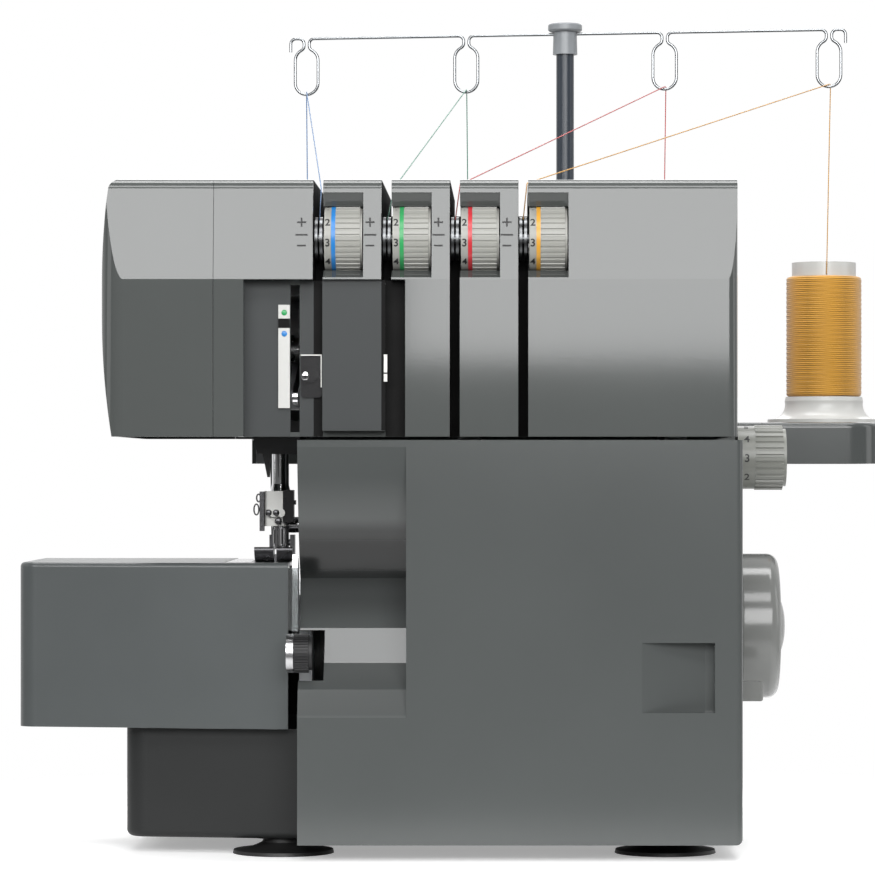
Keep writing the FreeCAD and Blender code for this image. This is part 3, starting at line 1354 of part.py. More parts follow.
# Eyelet measures: how far the loop's centre lies below the neck's bend
def loop_drop():
    across = EYELET_NECK_GAP + EYELET_NECK_R
    return math.sqrt((EYELET_NECK_R + EYELET_LOOP_R) ** 2 - across ** 2)


def loop_top_z():
    return GUIDE_Z - EYELET_NECK_R - EYELET_NECK - loop_drop()


def eyelet_bottom():
    return loop_top_z() - EYELET_LENGTH - EYELET_LOOP_R


# Left half of one eyelet in the bar's plane: down the neck, out round the loop, to its bottom
def half_eyelet():
    turn = math.sqrt(0.5)
    q, r = EYELET_NECK_R, EYELET_LOOP_R
    neck_x = -EYELET_NECK_GAP
    bend_z = GUIDE_Z - q - EYELET_NECK
    centre_x = neck_x - q
    top_z = loop_top_z()
    meet = math.atan2(top_z - bend_z, -centre_x)
    half_meet = 0.5 * meet
    side = 0.5 * (math.pi + meet + math.pi)
    return [
        (neck_x - q, GUIDE_Z),
        (neck_x, GUIDE_Z - q, neck_x - q + q * turn, GUIDE_Z - q + q * turn),
        (neck_x, bend_z),
        (
            centre_x + q * math.cos(meet), bend_z + q * math.sin(meet),
            centre_x + q * math.cos(half_meet), bend_z + q * math.sin(half_meet),
        ),
        (-r, top_z, r * math.cos(side), top_z + r * math.sin(side)),
        (-r, top_z - EYELET_LENGTH),
        (0.0, eyelet_bottom(), -r * turn, top_z - EYELET_LENGTH - r * turn),
    ]


# The right half runs back up: corners mirrored, each arc's middle moved to the edge it ends
def whole_eyelet():
    left = half_eyelet()
    right = []
    for before, here in zip(left[-2::-1], left[:0:-1]):
        corner = (-before[0], before[1])
        if len(here) == 4:
            corner = corner + (-here[2], here[3])
        right.append(corner)
    return left + right


# One guide wire through the cap, bent into four open-necked eyelets and hooked at both ends
def thread_guide_wire():
    q = EYELET_NECK_R
    turn = math.sqrt(0.5)
    end = GUIDE_HALF
    corners = [(-end, GUIDE_Z - q - 4.0), (-end, GUIDE_Z - q)]
    corners.append((-end + q, GUIDE_Z, -end + q - q * turn, GUIDE_Z - q + q * turn))
    for offset in EYELET_OFFSETS:
        for corner in whole_eyelet():
            shifted = list(corner)
            shifted[0] += offset
            if len(shifted) == 4:
                shifted[2] += offset
            corners.append(tuple(shifted))
    corners.append((end - q, GUIDE_Z))
    corners.append((end, GUIDE_Z - q, end - q + q * turn, GUIDE_Z - q + q * turn))
    corners.append((end, GUIDE_Z - q - 4.0))
    place = [vec(STAND_CENTRE_X + c[0], SPOOL_Y, c[1]) for c in corners]
    edges = []
    for k in range(1, len(corners)):
        if len(corners[k]) == 4:
            middle = vec(STAND_CENTRE_X + corners[k][2], SPOOL_Y, corners[k][3])
            edges.append(Part.Arc(place[k - 1], middle, place[k]).toShape())
        else:
            edges.append(Part.LineSegment(place[k - 1], place[k]).toShape())
    section = Part.Wire([Part.makeCircle(GUIDE_WIRE_R, place[0], vec(0, 0, 1))])
    return turned(Part.Wire(edges).makePipeShell([section], True, False))


# A taut thread: up from its package, over the eyelet's lower wire, round the slot's upper edge
# on the side that it comes from, and down between the discs
def thread_points(k):
    yaw = math.radians(-GUIDE_YAW)
    offset = EYELET_OFFSETS[k]
    eye = vec(
        STAND_CENTRE_X + offset * math.cos(yaw), SPOOL_Y + offset * math.sin(yaw), eyelet_bottom()
    )
    side = 1 if eye.y > SPOOL_Y else -1
    start = vec(
        spool_xs()[k], SPOOL_Y + side * (PACKAGE_R - 1.4), HOLDER_TOP + PACKAGE_HEIGHT + THREAD_R + 0.1
    )
    end = vec(SLOTS[k], DIAL_Y + 3.0, DIAL_Z + DISC_R - 0.9)
    lean = SLOT_WIDTH / 2 - THREAD_R - 0.2
    edge_x = SLOTS[k] + (lean if eye.x > SLOTS[k] else -lean)
    edge_z = HEAD_TOP + THREAD_R + 0.2
    below = math.hypot(edge_x - end.x, edge_z - end.z)
    above = math.hypot(eye.x - edge_x, eye.z - edge_z)
    edge = vec(edge_x, end.y + (eye.y - end.y) * below / (below + above), edge_z)
    return start, eye, edge, end


# Corner of the route that an arc of this radius rounds off so that it just passes outside the wire
def eyelet_corner(eye, start, edge, bend):
    middle = ((start - eye).normalize() + (edge - eye).normalize()).normalize()
    half = math.acos((start - eye).normalize().dot(middle))
    return eye - middle * (bend / math.sin(half))


def thread(k):
    start, eye, edge, end = thread_points(k)
    bends = (GUIDE_WIRE_R + THREAD_R + 0.15, 2 * THREAD_R)
    route = [start, eyelet_corner(eye, start, edge, bends[0]), edge, end]
    here = start
    edges = []
    for corner, bend, before, after in zip(route[1:3], bends, route[0:2], route[2:4]):
        to_a = (before - corner).normalize()
        to_b = (after - corner).normalize()
        middle = (to_a + to_b).normalize()
        half = math.acos(max(-1.0, min(1.0, to_a.dot(middle))))
        back = bend / math.tan(half)
        top = corner + middle * (bend / math.sin(half) - bend)
        edges.append(Part.LineSegment(here, corner + to_a * back).toShape())
        edges.append(Part.Arc(corner + to_a * back, top, corner + to_b * back).toShape())
        here = corner + to_b * back
    edges.append(Part.LineSegment(here, end).toShape())
    path = Part.Wire(edges)
    section = Part.Wire([Part.makeCircle(THREAD_R, start, (route[1] - start).normalize())])
    tube = path.makePipeShell([section], True, False)
    print("thread", COLOURS[k], "length", round(path.Length, 1), "bends", [round(x, 2) for x in bends])
    return tube


CORDS = ["thread_" + colour for colour in COLOURS]


def build():
    nodes = {
        "base_pan": base_pan(),
        "suction_feet": suction_feet(),
        "frame_casting": frame_casting(),
        "shaft_bushings": shaft_bushings(),
        "rear_cover": rear_cover(),
        "belt_cover": belt_cover(),
        "top_cover": top_cover(),
        "face_cover": face_cover(),
        "power_inlet": power_inlet(),
        "motor": motor(),
        "drive_belt": drive_belt(),
        "needle_plate": needle_plate(),
        "lower_knife": lower_knife(),
        "tension_discs": tension_discs(),
        "take_up_guide": take_up_guide(),
        "thread_clip": thread_clip(),
        "spool_stand": spool_stand(),
        "spool_pins": spool_pins(),
        "cone_holders": cone_holders(),
        "spool_cores": spool_cores(),
        "antenna_lower_tube": antenna_lower_tube(),
        "handwheel": handwheel(),
        "main_shaft": main_shaft(),
        "motor_pulley": motor_pulley(),
        "rocker_shaft": rocker_shaft(),
        "take_up_lever": take_up_lever(),
        "needle_bar": needle_bar(),
        "needle_clamp": needle_clamp(),
        "needles": needles(),
        "presser_bar": presser_bar(),
        "presser_ankle": presser_ankle(),
        "presser_foot": presser_foot(),
        "presser_lifter": presser_lifter(),
        "stitch_length_dial": stitch_length_dial(),
        "differential_lever": differential_lever(),
        "power_rocker": power_rocker(),
        "front_cover": front_cover(),
        "front_cover_rod": front_cover_rod(),
        "cloth_plate": cloth_plate(),
        "chip_guard": chip_guard(),
        "upper_knife": upper_knife(),
        "knife_knob": knife_knob(),
        "feed_dogs": feed_dogs(),
        "upper_looper": upper_looper(),
        "lower_looper": lower_looper(),
        "antenna_upper_tube": antenna_upper_tube(),
        "antenna_cap": antenna_cap(),
        "thread_guide_wire": thread_guide_wire(),
    }
    for k, colour in enumerate(COLOURS):
        nodes["tension_dial_" + colour] = tension_dial(SLOTS[k])
        nodes["thread_package_" + colour] = thread_package(spool_xs()[k])
        nodes["thread_" + colour] = thread(k)
    return nodes


# The origin is the middle of the footprint at floor level, threads left aside
def origin(nodes):
    whole = FreeCAD.BoundBox()
    for name, shape in nodes.items():
        if name not in CORDS:
            whole.add(shape.optimalBoundingBox(False))
    return vec(whole.Center.x, whole.Center.y, whole.ZMin)


def main():
    os.makedirs("parts", exist_ok=True)
    nodes = build()
    home = origin(nodes)
    for name, shape in nodes.items():
        shape.translate(home * -1)
        shape.exportStep("parts/" + name + ".step")


if __name__ == "__main__":
    main()
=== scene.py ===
import math

import bmesh
import bpy
import numpy as np
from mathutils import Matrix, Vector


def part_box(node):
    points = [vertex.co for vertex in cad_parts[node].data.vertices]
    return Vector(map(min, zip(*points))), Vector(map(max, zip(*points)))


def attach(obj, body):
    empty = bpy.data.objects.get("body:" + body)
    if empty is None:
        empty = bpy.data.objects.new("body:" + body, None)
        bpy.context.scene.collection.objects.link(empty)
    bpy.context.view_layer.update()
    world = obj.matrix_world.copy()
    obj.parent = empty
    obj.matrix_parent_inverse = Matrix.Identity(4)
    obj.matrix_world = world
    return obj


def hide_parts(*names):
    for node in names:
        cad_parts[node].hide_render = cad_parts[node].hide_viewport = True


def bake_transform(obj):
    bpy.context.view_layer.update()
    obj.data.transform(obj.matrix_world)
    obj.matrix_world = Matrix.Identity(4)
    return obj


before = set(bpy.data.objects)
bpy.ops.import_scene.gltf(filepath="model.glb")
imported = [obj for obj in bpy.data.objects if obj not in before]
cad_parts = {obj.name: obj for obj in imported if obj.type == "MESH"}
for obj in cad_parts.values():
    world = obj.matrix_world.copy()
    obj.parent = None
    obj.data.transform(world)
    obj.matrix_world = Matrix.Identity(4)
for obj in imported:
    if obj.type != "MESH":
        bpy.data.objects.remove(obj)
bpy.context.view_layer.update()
print("frame loaded:", len(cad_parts), "nodes")

scene = bpy.context.scene
scene.view_settings.view_transform = "Standard"
mm = 0.001
colourNames = ("blue", "green", "red", "yellow")
slotFromDial = 2.7 * mm  # from a tension dial's left side to the middle of its thread slot


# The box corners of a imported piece, as arrays in metres
def cornersOf(node):
    low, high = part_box(node)
    return np.array(low, float), np.array(high, float)


# Middle of the thread slot beside a tension dial
def slotMiddle(c):
    return cornersOf("tension_dial_" + c)[0][0] - slotFromDial


coverLow, coverHigh = cornersOf("front_cover")
headLow, headHigh = cornersOf("top_cover")


# Camera: level and square to the front; places in metres, the small shift of the framing in pixels

cameraPlace = dict(distance=1.700, right=0.095, height=0.170, mmPerPixel=0.434, frameHeight=881,
                   shiftRight=-78.5, shiftUp=29.5, sensor=36.0)


def addCamera(v):
    data = bpy.data.cameras.new("frontCamera")
    camera = bpy.data.objects.new("frontCamera", data)
    scene.collection.objects.link(camera)
    camera.location = (coverLow[0] + v["right"], coverLow[1] - v["distance"], v["height"])
    camera.rotation_euler = (math.pi / 2, 0, 0)
    data.sensor_fit = "VERTICAL"
    data.sensor_height = v["sensor"]
    data.lens = v["sensor"] * v["distance"] / (v["frameHeight"] * v["mmPerPixel"] * mm)
    data.shift_x = v["shiftRight"] / v["frameHeight"]
    data.shift_y = v["shiftUp"] / v["frameHeight"]
    data.clip_end = 20.0
    scene.camera = camera


addCamera(cameraPlace)


# Light: a pale studio with softboxes in front, overhead, at both sides and behind; metres and watts

studio = dict(worldFront=0.12, worldRear=0.85, rearFull=0.55, worldCamera=1.0)
softboxes = (
    dict(name="upperSoftbox", size=(2.2, 0.52), at=(-0.22, -1.78, 0.78), aim=(-0.22, 0.0, 0.40), power=29.0),
    dict(name="lowerSoftbox", size=(0.84, 0.26), at=(0.34, -1.80, 0.394), aim=(0.34, 0.0, 0.30), power=5.2),
    dict(name="chuteSoftbox", size=(0.9, 0.34), at=(0.0, -0.95, 1.12), aim=(0.0, -0.1, 0.15), power=6.5),
    dict(name="overhead", size=(1.1, 0.5), at=(0.0, 0.08, 1.45), aim=(0.0, 0.081, 0.2), power=14.0),
    dict(name="leftFill", size=(0.7, 1.2), at=(-1.7, -0.3, 0.75), aim=(0.0, 0.0, 0.18), power=3.0),
    dict(name="rightFill", size=(0.6, 1.2), at=(1.6, -0.2, 0.70), aim=(0.1, 0.0, 0.15), power=4.0),
    dict(name="rearFill", size=(1.2, 0.8), at=(0.1, 1.7, 1.1), aim=(0.0, 0.1, 0.2), power=8.0),
)


def addSoftbox(v):
    data = bpy.data.lights.new(v["name"], "AREA")
    data.shape = "RECTANGLE"
    data.size, data.size_y = v["size"]
    data.energy = v["power"]
    lamp = bpy.data.objects.new(v["name"], data)
    scene.collection.objects.link(lamp)
    place = np.array(v["at"])
    look = np.array(v["aim"]) - place
    lamp.location = place
    yaw = math.atan2(look[0], -look[1])
    tilt = math.atan2(math.hypot(look[0], look[1]), -look[2])
    lamp.rotation_euler = (tilt, 0, yaw + math.pi)


for v in softboxes:
    addSoftbox(v)


# White all round as seen; as light, a dim front and a bright backdrop behind the machine
def addWorld(v):
    world = bpy.data.worlds.new("studioWorld")
    scene.world = world
    world.use_nodes = True
    nodes, links = world.node_tree.nodes, world.node_tree.links
    nodes.clear()
    out = nodes.new("ShaderNodeOutputWorld")
    rays = nodes.new("ShaderNodeLightPath")
    seen = nodes.new("ShaderNodeBackground")
    lit = nodes.new("ShaderNodeBackground")
    mix = nodes.new("ShaderNodeMixShader")
    seen.inputs["Strength"].default_value = v["worldCamera"]
    seen.inputs["Color"].default_value = (1, 1, 1, 1)
    lit.inputs["Color"].default_value = (1, 1, 1, 1)
    place = nodes.new("ShaderNodeTexCoord")
    parts = nodes.new("ShaderNodeSeparateXYZ")
    links.new(place.outputs["Generated"], parts.inputs[0])
    rear = nodes.new("ShaderNodeMapRange")
    rear.interpolation_type = "SMOOTHSTEP"
    rear.inputs["From Min"].default_value = 0.0
    rear.inputs["From Max"].default_value = v["rearFull"]
    rear.inputs["To Min"].default_value = v["worldFront"]
    rear.inputs["To Max"].default_value = v["worldRear"]
    links.new(parts.outputs["Y"], rear.inputs["Value"])
    links.new(rear.outputs[0], lit.inputs["Strength"])
    links.new(rays.outputs["Is Camera Ray"], mix.inputs["Fac"])
    links.new(lit.outputs[0], mix.inputs[1])
    links.new(seen.outputs[0], mix.inputs[2])
    links.new(mix.outputs[0], out.inputs["Surface"])


addWorld(studio)


# Shared effect: slow and fine mottling of a moulded or metal surface, as colour, roughness and height

def surfaceGroup():
    group = bpy.data.node_groups.new("surfaceMottle", "ShaderNodeTree")
    face = group.interface
    face.new_socket("Color", in_out="INPUT", socket_type="NodeSocketColor")
    face.new_socket("Spread", in_out="INPUT", socket_type="NodeSocketFloat")
    face.new_socket("Roughness", in_out="INPUT", socket_type="NodeSocketFloat")
    face.new_socket("Coarse", in_out="INPUT", socket_type="NodeSocketFloat")
    face.new_socket("Fine", in_out="INPUT", socket_type="NodeSocketFloat")
    face.new_socket("Stretch", in_out="INPUT", socket_type="NodeSocketVector")
    face.new_socket("Color", in_out="OUTPUT", socket_type="NodeSocketColor")
    face.new_socket("Roughness", in_out="OUTPUT", socket_type="NodeSocketFloat")
    face.new_socket("Height", in_out="OUTPUT", socket_type="NodeSocketFloat")
    nodes, links = group.nodes, group.links
    ins = nodes.new("NodeGroupInput")
    outs = nodes.new("NodeGroupOutput")
    place = nodes.new("ShaderNodeTexCoord")
    stretch = nodes.new("ShaderNodeVectorMath")
    stretch.operation = "MULTIPLY"
    links.new(place.outputs["Object"], stretch.inputs[0])
    links.new(ins.outputs["Stretch"], stretch.inputs[1])
    coarse = nodes.new("ShaderNodeTexNoise")
    fine = nodes.new("ShaderNodeTexNoise")
    coarse.inputs["Detail"].default_value = 4.0
    fine.inputs["Detail"].default_value = 2.0
    for noise, name in ((coarse, "Coarse"), (fine, "Fine")):
        links.new(stretch.outputs[0], noise.inputs["Vector"])
        links.new(ins.outputs[name], noise.inputs["Scale"])
    swing = nodes.new("ShaderNodeMapRange")  # noise to a factor round 1
    swing.inputs["From Min"].default_value = 0.3
    swing.inputs["From Max"].default_value = 0.7
    less = nodes.new("ShaderNodeMath")
    less.operation = "SUBTRACT"
    less.inputs[0].default_value = 1.0
    more = nodes.new("ShaderNodeMath")
    more.operation = "ADD"
    more.inputs[0].default_value = 1.0
    links.new(ins.outputs["Spread"], less.inputs[1])
    links.new(ins.outputs["Spread"], more.inputs[1])
    links.new(coarse.outputs["Fac"], swing.inputs["Value"])
    links.new(less.outputs[0], swing.inputs["To Min"])
    links.new(more.outputs[0], swing.inputs["To Max"])
    tint = nodes.new("ShaderNodeVectorMath")
    tint.operation = "SCALE"
    links.new(ins.outputs["Color"], tint.inputs[0])
    links.new(swing.outputs[0], tint.inputs["Scale"])
    rough = nodes.new("ShaderNodeMath")
    rough.operation = "MULTIPLY"
    links.new(ins.outputs["Roughness"], rough.inputs[0])
    links.new(swing.outputs[0], rough.inputs[1])
    links.new(tint.outputs[0], outs.inputs["Color"])
    links.new(rough.outputs[0], outs.inputs["Roughness"])
    links.new(fine.outputs["Fac"], outs.inputs["Height"])
    return group


mottle = surfaceGroup()

finishes = dict(
    bodyGrey=dict(color=(0.074, 0.080, 0.079), rough=0.14, spread=0.03, coarse=14, fine=900, bump=0.006),
    headGrey=dict(color=(0.078, 0.084, 0.082), rough=0.07, spread=0.03, coarse=14, fine=900, bump=0.003),
    plateGrey=dict(color=(0.070, 0.077, 0.078), rough=0.30, spread=0.04, coarse=16, fine=1100, bump=0.02),
    recessGrey=dict(color=(0.046, 0.050, 0.051), rough=0.4, gloss=0.2, spread=0.04, coarse=16, fine=1000,
                    bump=0.01),
    stitchGrey=dict(color=(0.215, 0.220, 0.200), rough=0.34, spread=0.04, coarse=30, fine=1400, bump=0.03),
    wireSteel=dict(color=(0.300, 0.310, 0.320), rough=0.22, spread=0.08, coarse=90, fine=1600,
                   bump=0.02, metal=1.0),
    discSteel=dict(color=(0.16, 0.165, 0.17), rough=0.3, spread=0.06, coarse=90, fine=1600,
                   bump=0.02, metal=1.0),
    clampSteel=dict(color=(0.60, 0.60, 0.58), rough=0.4, spread=0.05, coarse=90, fine=1600,
                    bump=0.03, metal=0.3),
    darkSteel=dict(color=(0.10, 0.10, 0.105), rough=0.28, spread=0.08, coarse=90, fine=1600,
                   bump=0.03, metal=0.8),
    gunBlack=dict(color=(0.014, 0.014, 0.015), rough=0.16, spread=0.08, coarse=60, fine=1500, bump=0.01),
    baseGrey=dict(color=(0.020, 0.021, 0.021), rough=0.45, gloss=0.2, spread=0.05, coarse=16, fine=1000,
                  bump=0.02),
    dialGrey=dict(color=(0.335, 0.335, 0.310), rough=0.34, spread=0.04, coarse=30, fine=1400, bump=0.03),
    wheelGrey=dict(color=(0.200, 0.205, 0.198), rough=0.16, spread=0.03, coarse=18, fine=900, bump=0.01),
    capGrey=dict(color=(0.245, 0.260, 0.275), rough=0.35, spread=0.04, coarse=40, fine=1300, bump=0.02),
    blackPlastic=dict(color=(0.008, 0.008, 0.009), rough=0.5, spread=0.12, coarse=60, fine=1500, bump=0.05),
    blackRubber=dict(color=(0.009, 0.009, 0.009), rough=0.52, spread=0.15, coarse=40, fine=1300, bump=0.06),
    whitePlastic=dict(color=(0.570, 0.570, 0.550), rough=0.28, spread=0.02, coarse=25, fine=1200, bump=0.01),
    castMetal=dict(color=(0.38, 0.39, 0.40), rough=0.5, spread=0.10, coarse=60, fine=700,
                   bump=0.18, metal=1.0),
    groundSteel=dict(color=(0.56, 0.56, 0.57), rough=0.26, spread=0.07, coarse=90, fine=1600,
                     bump=0.04, metal=1.0, stretch=(1, 1, 0.08)),
    chrome=dict(color=(0.78, 0.78, 0.79), rough=0.09, spread=0.05, coarse=70, fine=1500,
                bump=0.006, metal=1.0),
    bronze=dict(color=(0.48, 0.33, 0.14), rough=0.4, spread=0.1, coarse=90, fine=1500, bump=0.05, metal=1.0),
    tubePaint=dict(color=(0.028, 0.036, 0.048), rough=0.34, spread=0.04, coarse=40, fine=1200, bump=0.01,
                   stretch=(1, 1, 0.1)),
    ringBlue=dict(color=(0.02, 0.20, 0.55), rough=0.3, spread=0.03, coarse=60, fine=1200, bump=0.01),
    ringGreen=dict(color=(0.03, 0.33, 0.10), rough=0.3, spread=0.03, coarse=60, fine=1200, bump=0.01),
    ringRed=dict(color=(0.55, 0.03, 0.04), rough=0.3, spread=0.03, coarse=60, fine=1200, bump=0.01),
    ringYellow=dict(color=(0.68, 0.34, 0.04), rough=0.3, spread=0.03, coarse=60, fine=1200, bump=0.01),
    slotBlack=dict(color=(0.006, 0.006, 0.006), rough=0.7, spread=0.1, coarse=60, fine=1500,
                   bump=0.02, gloss=0.15),
    printBlack=dict(color=(0.012, 0.012, 0.013), rough=0.5, spread=0.1, coarse=80, fine=1500, bump=0.01),
)


# A new material, with its node lists and its shader at hand
def newMaterial(name):
    material = bpy.data.materials.new(name)
    material.use_nodes = True
    nodes, links = material.node_tree.nodes, material.node_tree.links
    return material, nodes, links, nodes["Principled BSDF"]


# The mottling with a finish's own values, tied to the shader's colour and roughness
def addMottle(nodes, links, shader, v):
    effect = nodes.new("ShaderNodeGroup")
    effect.node_tree = mottle
    effect.inputs["Color"].default_value = (*v["color"], 1)
    effect.inputs["Spread"].default_value = v["spread"]
    effect.inputs["Roughness"].default_value = v["rough"]
    effect.inputs["Coarse"].default_value = v["coarse"]
    effect.inputs["Fine"].default_value = v["fine"]
    effect.inputs["Stretch"].default_value = v.get("stretch", (1, 1, 1))
    links.new(effect.outputs["Color"], shader.inputs["Base Color"])
    links.new(effect.outputs["Roughness"], shader.inputs["Roughness"])
    return effect


def makeFinish(name, v):
    material, nodes, links, shader = newMaterial(name)
    shader.inputs["Metallic"].default_value = v.get("metal", 0.0)
    shader.inputs["Specular IOR Level"].default_value = v.get("gloss", 0.5)
    effect = addMottle(nodes, links, shader, v)
    bump = nodes.new("ShaderNodeBump")
    bump.inputs["Strength"].default_value = v["bump"]
    bump.inputs["Distance"].default_value = 1 * mm
    links.new(effect.outputs["Height"], bump.inputs["Height"])
    links.new(bump.outputs["Normal"], shader.inputs["Normal"])
    return material


finish = {name: makeFinish(name, v) for name, v in finishes.items()}


# The waste chute's hollow is in shade: a darkening by height, within the chute's width and behind the
# cover's face; shade rows are (share of the height, level)
chute = dict(right=coverLow[0] + 47.3 * mm, behind=coverLow[1] + 0.4 * mm, low=100.0 * mm, high=180.0 * mm,
             shade=((0.0, 0.86), (0.18, 0.50), (0.36, 0.16), (0.46, 0.10), (0.53, 0.30), (0.62, 0.92),
                    (1.0, 1.0)))


def chuteGroup(v):
    group = bpy.data.node_groups.new("chuteShade", "ShaderNodeTree")
    group.interface.new_socket("Color", in_out="INPUT", socket_type="NodeSocketColor")
    group.interface.new_socket("Color", in_out="OUTPUT", socket_type="NodeSocketColor")
    nodes, links = group.nodes, group.links
    ins = nodes.new("NodeGroupInput")
    outs = nodes.new("NodeGroupOutput")
    place = nodes.new("ShaderNodeTexCoord")
    parts = nodes.new("ShaderNodeSeparateXYZ")
    links.new(place.outputs["Object"], parts.inputs[0])
    inWidth = nodes.new("ShaderNodeMath")
    inWidth.operation = "LESS_THAN"
    inWidth.inputs[1].default_value = v["right"]
    links.new(parts.outputs["X"], inWidth.inputs[0])
    behind = nodes.new("ShaderNodeMath")
    behind.operation = "GREATER_THAN"
    behind.inputs[1].default_value = v["behind"]
    links.new(parts.outputs["Y"], behind.inputs[0])
    mask = nodes.new("ShaderNodeMath")
    mask.operation = "MULTIPLY"
    links.new(inWidth.outputs[0], mask.inputs[0])
    links.new(behind.outputs[0], mask.inputs[1])
    height = nodes.new("ShaderNodeMapRange")
    height.inputs["From Min"].default_value = v["low"]
    height.inputs["From Max"].default_value = v["high"]
    links.new(parts.outputs["Z"], height.inputs["Value"])
    ramp = nodes.new("ShaderNodeValToRGB")
    ramp.color_ramp.interpolation = "EASE"
    stops = ramp.color_ramp.elements
    while len(stops) < len(v["shade"]):
        stops.new(0.5)
    for stop, (share, level) in zip(stops, v["shade"]):
        stop.position = share
        stop.color = (level, level, level, 1)
    links.new(height.outputs[0], ramp.inputs["Fac"])
    shaded = nodes.new("ShaderNodeMix")
    shaded.data_type = "RGBA"
    shaded.blend_type = "MULTIPLY"
    links.new(mask.outputs[0], shaded.inputs["Factor"])
    links.new(ins.outputs["Color"], shaded.inputs["A"])
    links.new(ramp.outputs["Color"], shaded.inputs["B"])
    links.new(shaded.outputs["Result"], outs.inputs["Color"])
    return group


# The front cover's grey, with the chute's painted shade multiplied into its colour
def coverFinish(v):
    material = makeFinish("coverGrey", finishes["bodyGrey"])
    nodes, links = material.node_tree.nodes, material.node_tree.links
    shader = nodes["Principled BSDF"]
    source = shader.inputs["Base Color"].links[0].from_socket
    shade = nodes.new("ShaderNodeGroup")
    shade.node_tree = chuteGroup(v)
    links.new(source, shade.inputs["Color"])
    links.new(shade.outputs["Color"], shader.inputs["Base Color"])
    return material


finish["coverGrey"] = coverFinish(chute)


# Chip guard: clear plastic with a smoky tint
smoked = dict(color=(0.42, 0.44, 0.44), rough=0.06, spread=0.03, coarse=40, fine=900, through=0.9, ior=1.49)


def smokedClear(v):
    material, nodes, links, shader = newMaterial("smokedClear")
    shader.inputs["Transmission Weight"].default_value = v["through"]
    shader.inputs["IOR"].default_value = v["ior"]
    addMottle(nodes, links, shader, v)
    return material


finish["smokedClear"] = smokedClear(smoked)

# Two colour levels of the thread: painted shade between the turns and painted highlight on them
winding = dict(rough=0.55, sheen=0.35, groove=0.55, paintedTopHighlight=1.12, bump=0.6, depth=0.3 * mm,
               packageTurns=(62, 3), singleTurns=(260, 1))


# Wound thread: the higher of two opposite sine lines over the piece's own UV map, as height and as tint;
# the tint is painted shade between the turns and painted highlight on them
def threadFinish(name, color, turns, v):
    alongTurns, aroundTurns = turns
    material, nodes, links, shader = newMaterial(name)
    shader.inputs["Roughness"].default_value = v["rough"]
    shader.inputs["Sheen Weight"].default_value = v["sheen"]
    uv = nodes.new("ShaderNodeUVMap")
    waves = []
    for lean in (aroundTurns, -aroundTurns):
        line = nodes.new("ShaderNodeVectorMath")
        line.operation = "DOT_PRODUCT"
        line.inputs[1].default_value = (lean, alongTurns, 0)
        links.new(uv.outputs[0], line.inputs[0])
        wave = nodes.new("ShaderNodeMath")
        wave.operation = "SINE"
        turn = nodes.new("ShaderNodeMath")
        turn.operation = "MULTIPLY"
        turn.inputs[1].default_value = 2 * math.pi
        links.new(line.outputs["Value"], turn.inputs[0])
        links.new(turn.outputs[0], wave.inputs[0])
        waves.append(wave)
    top = nodes.new("ShaderNodeMath")
    top.operation = "MAXIMUM"
    links.new(waves[0].outputs[0], top.inputs[0])
    links.new(waves[1].outputs[0], top.inputs[1])
    # Colour scale from the sine lines: painted shade between the turns, painted highlight on them
    ramp = nodes.new("ShaderNodeMapRange")
    ramp.inputs["From Min"].default_value = -1.0
    ramp.inputs["To Min"].default_value = v["groove"]
    ramp.inputs["To Max"].default_value = v["paintedTopHighlight"]
    links.new(top.outputs[0], ramp.inputs["Value"])
    tint = nodes.new("ShaderNodeVectorMath")
    tint.operation = "SCALE"
    tint.inputs[0].default_value = color
    links.new(ramp.outputs[0], tint.inputs["Scale"])
    bump = nodes.new("ShaderNodeBump")
    bump.inputs["Strength"].default_value = v["bump"]
    bump.inputs["Distance"].default_value = v["depth"]
    links.new(top.outputs[0], bump.inputs["Height"])
    links.new(tint.outputs[0], shader.inputs["Base Color"])
    links.new(bump.outputs["Normal"], shader.inputs["Normal"])
    return material


threadColours = dict(blue=(0.03, 0.16, 0.40), green=(0.03, 0.22, 0.14), red=(0.50, 0.03, 0.03),
                     yellow=(0.62, 0.30, 0.025))
woundThread = {c: threadFinish("woundThread_" + c, threadColours[c], winding["packageTurns"], winding)
               for c in colourNames}
singleThread = {c: threadFinish("singleThread_" + c, threadColours[c], winding["singleTurns"], winding)
                for c in colourNames}
print("finishes made:", len(finish) + len(woundThread) + len(singleThread))


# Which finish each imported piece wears

wears = dict(
    bodyGrey="belt_cover rear_cover spool_stand presser_lifter",
    coverGrey="front_cover",
    headGrey="top_cover face_cover",
    plateGrey="cloth_plate",
    baseGrey="base_pan",
    stitchGrey="stitch_length_dial",
    dialGrey="tension_dial_blue tension_dial_green tension_dial_red tension_dial_yellow",
    wheelGrey="handwheel differential_lever",
    capGrey="antenna_cap",
    blackPlastic="power_inlet power_rocker knife_knob motor_pulley",
    blackRubber="suction_feet drive_belt",
    whitePlastic="take_up_guide spool_pins cone_holders spool_cores",
    castMetal="frame_casting motor",
    groundSteel="lower_knife main_shaft rocker_shaft front_cover_rod upper_knife feed_dogs",
    chrome="needle_plate take_up_lever needle_bar needles presser_bar presser_ankle upper_looper "
           "lower_looper",
    discSteel="tension_discs",
    clampSteel="needle_clamp",
    darkSteel="presser_foot",
    gunBlack="thread_clip",
    wireSteel="thread_guide_wire",
    bronze="shaft_bushings",
    tubePaint="antenna_lower_tube antenna_upper_tube",
    smokedClear="chip_guard",
)


def dress(node, material):
    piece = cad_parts[node]
    piece.data.materials.clear()
    piece.data.materials.append(material)


for name, nodes in wears.items():
    for node in nodes.split():
        dress(node, finish[name])
for c in colourNames:
    dress("thread_package_" + c, woundThread[c])
    dress("thread_" + c, singleThread[c])
print("packed pieces dressed")


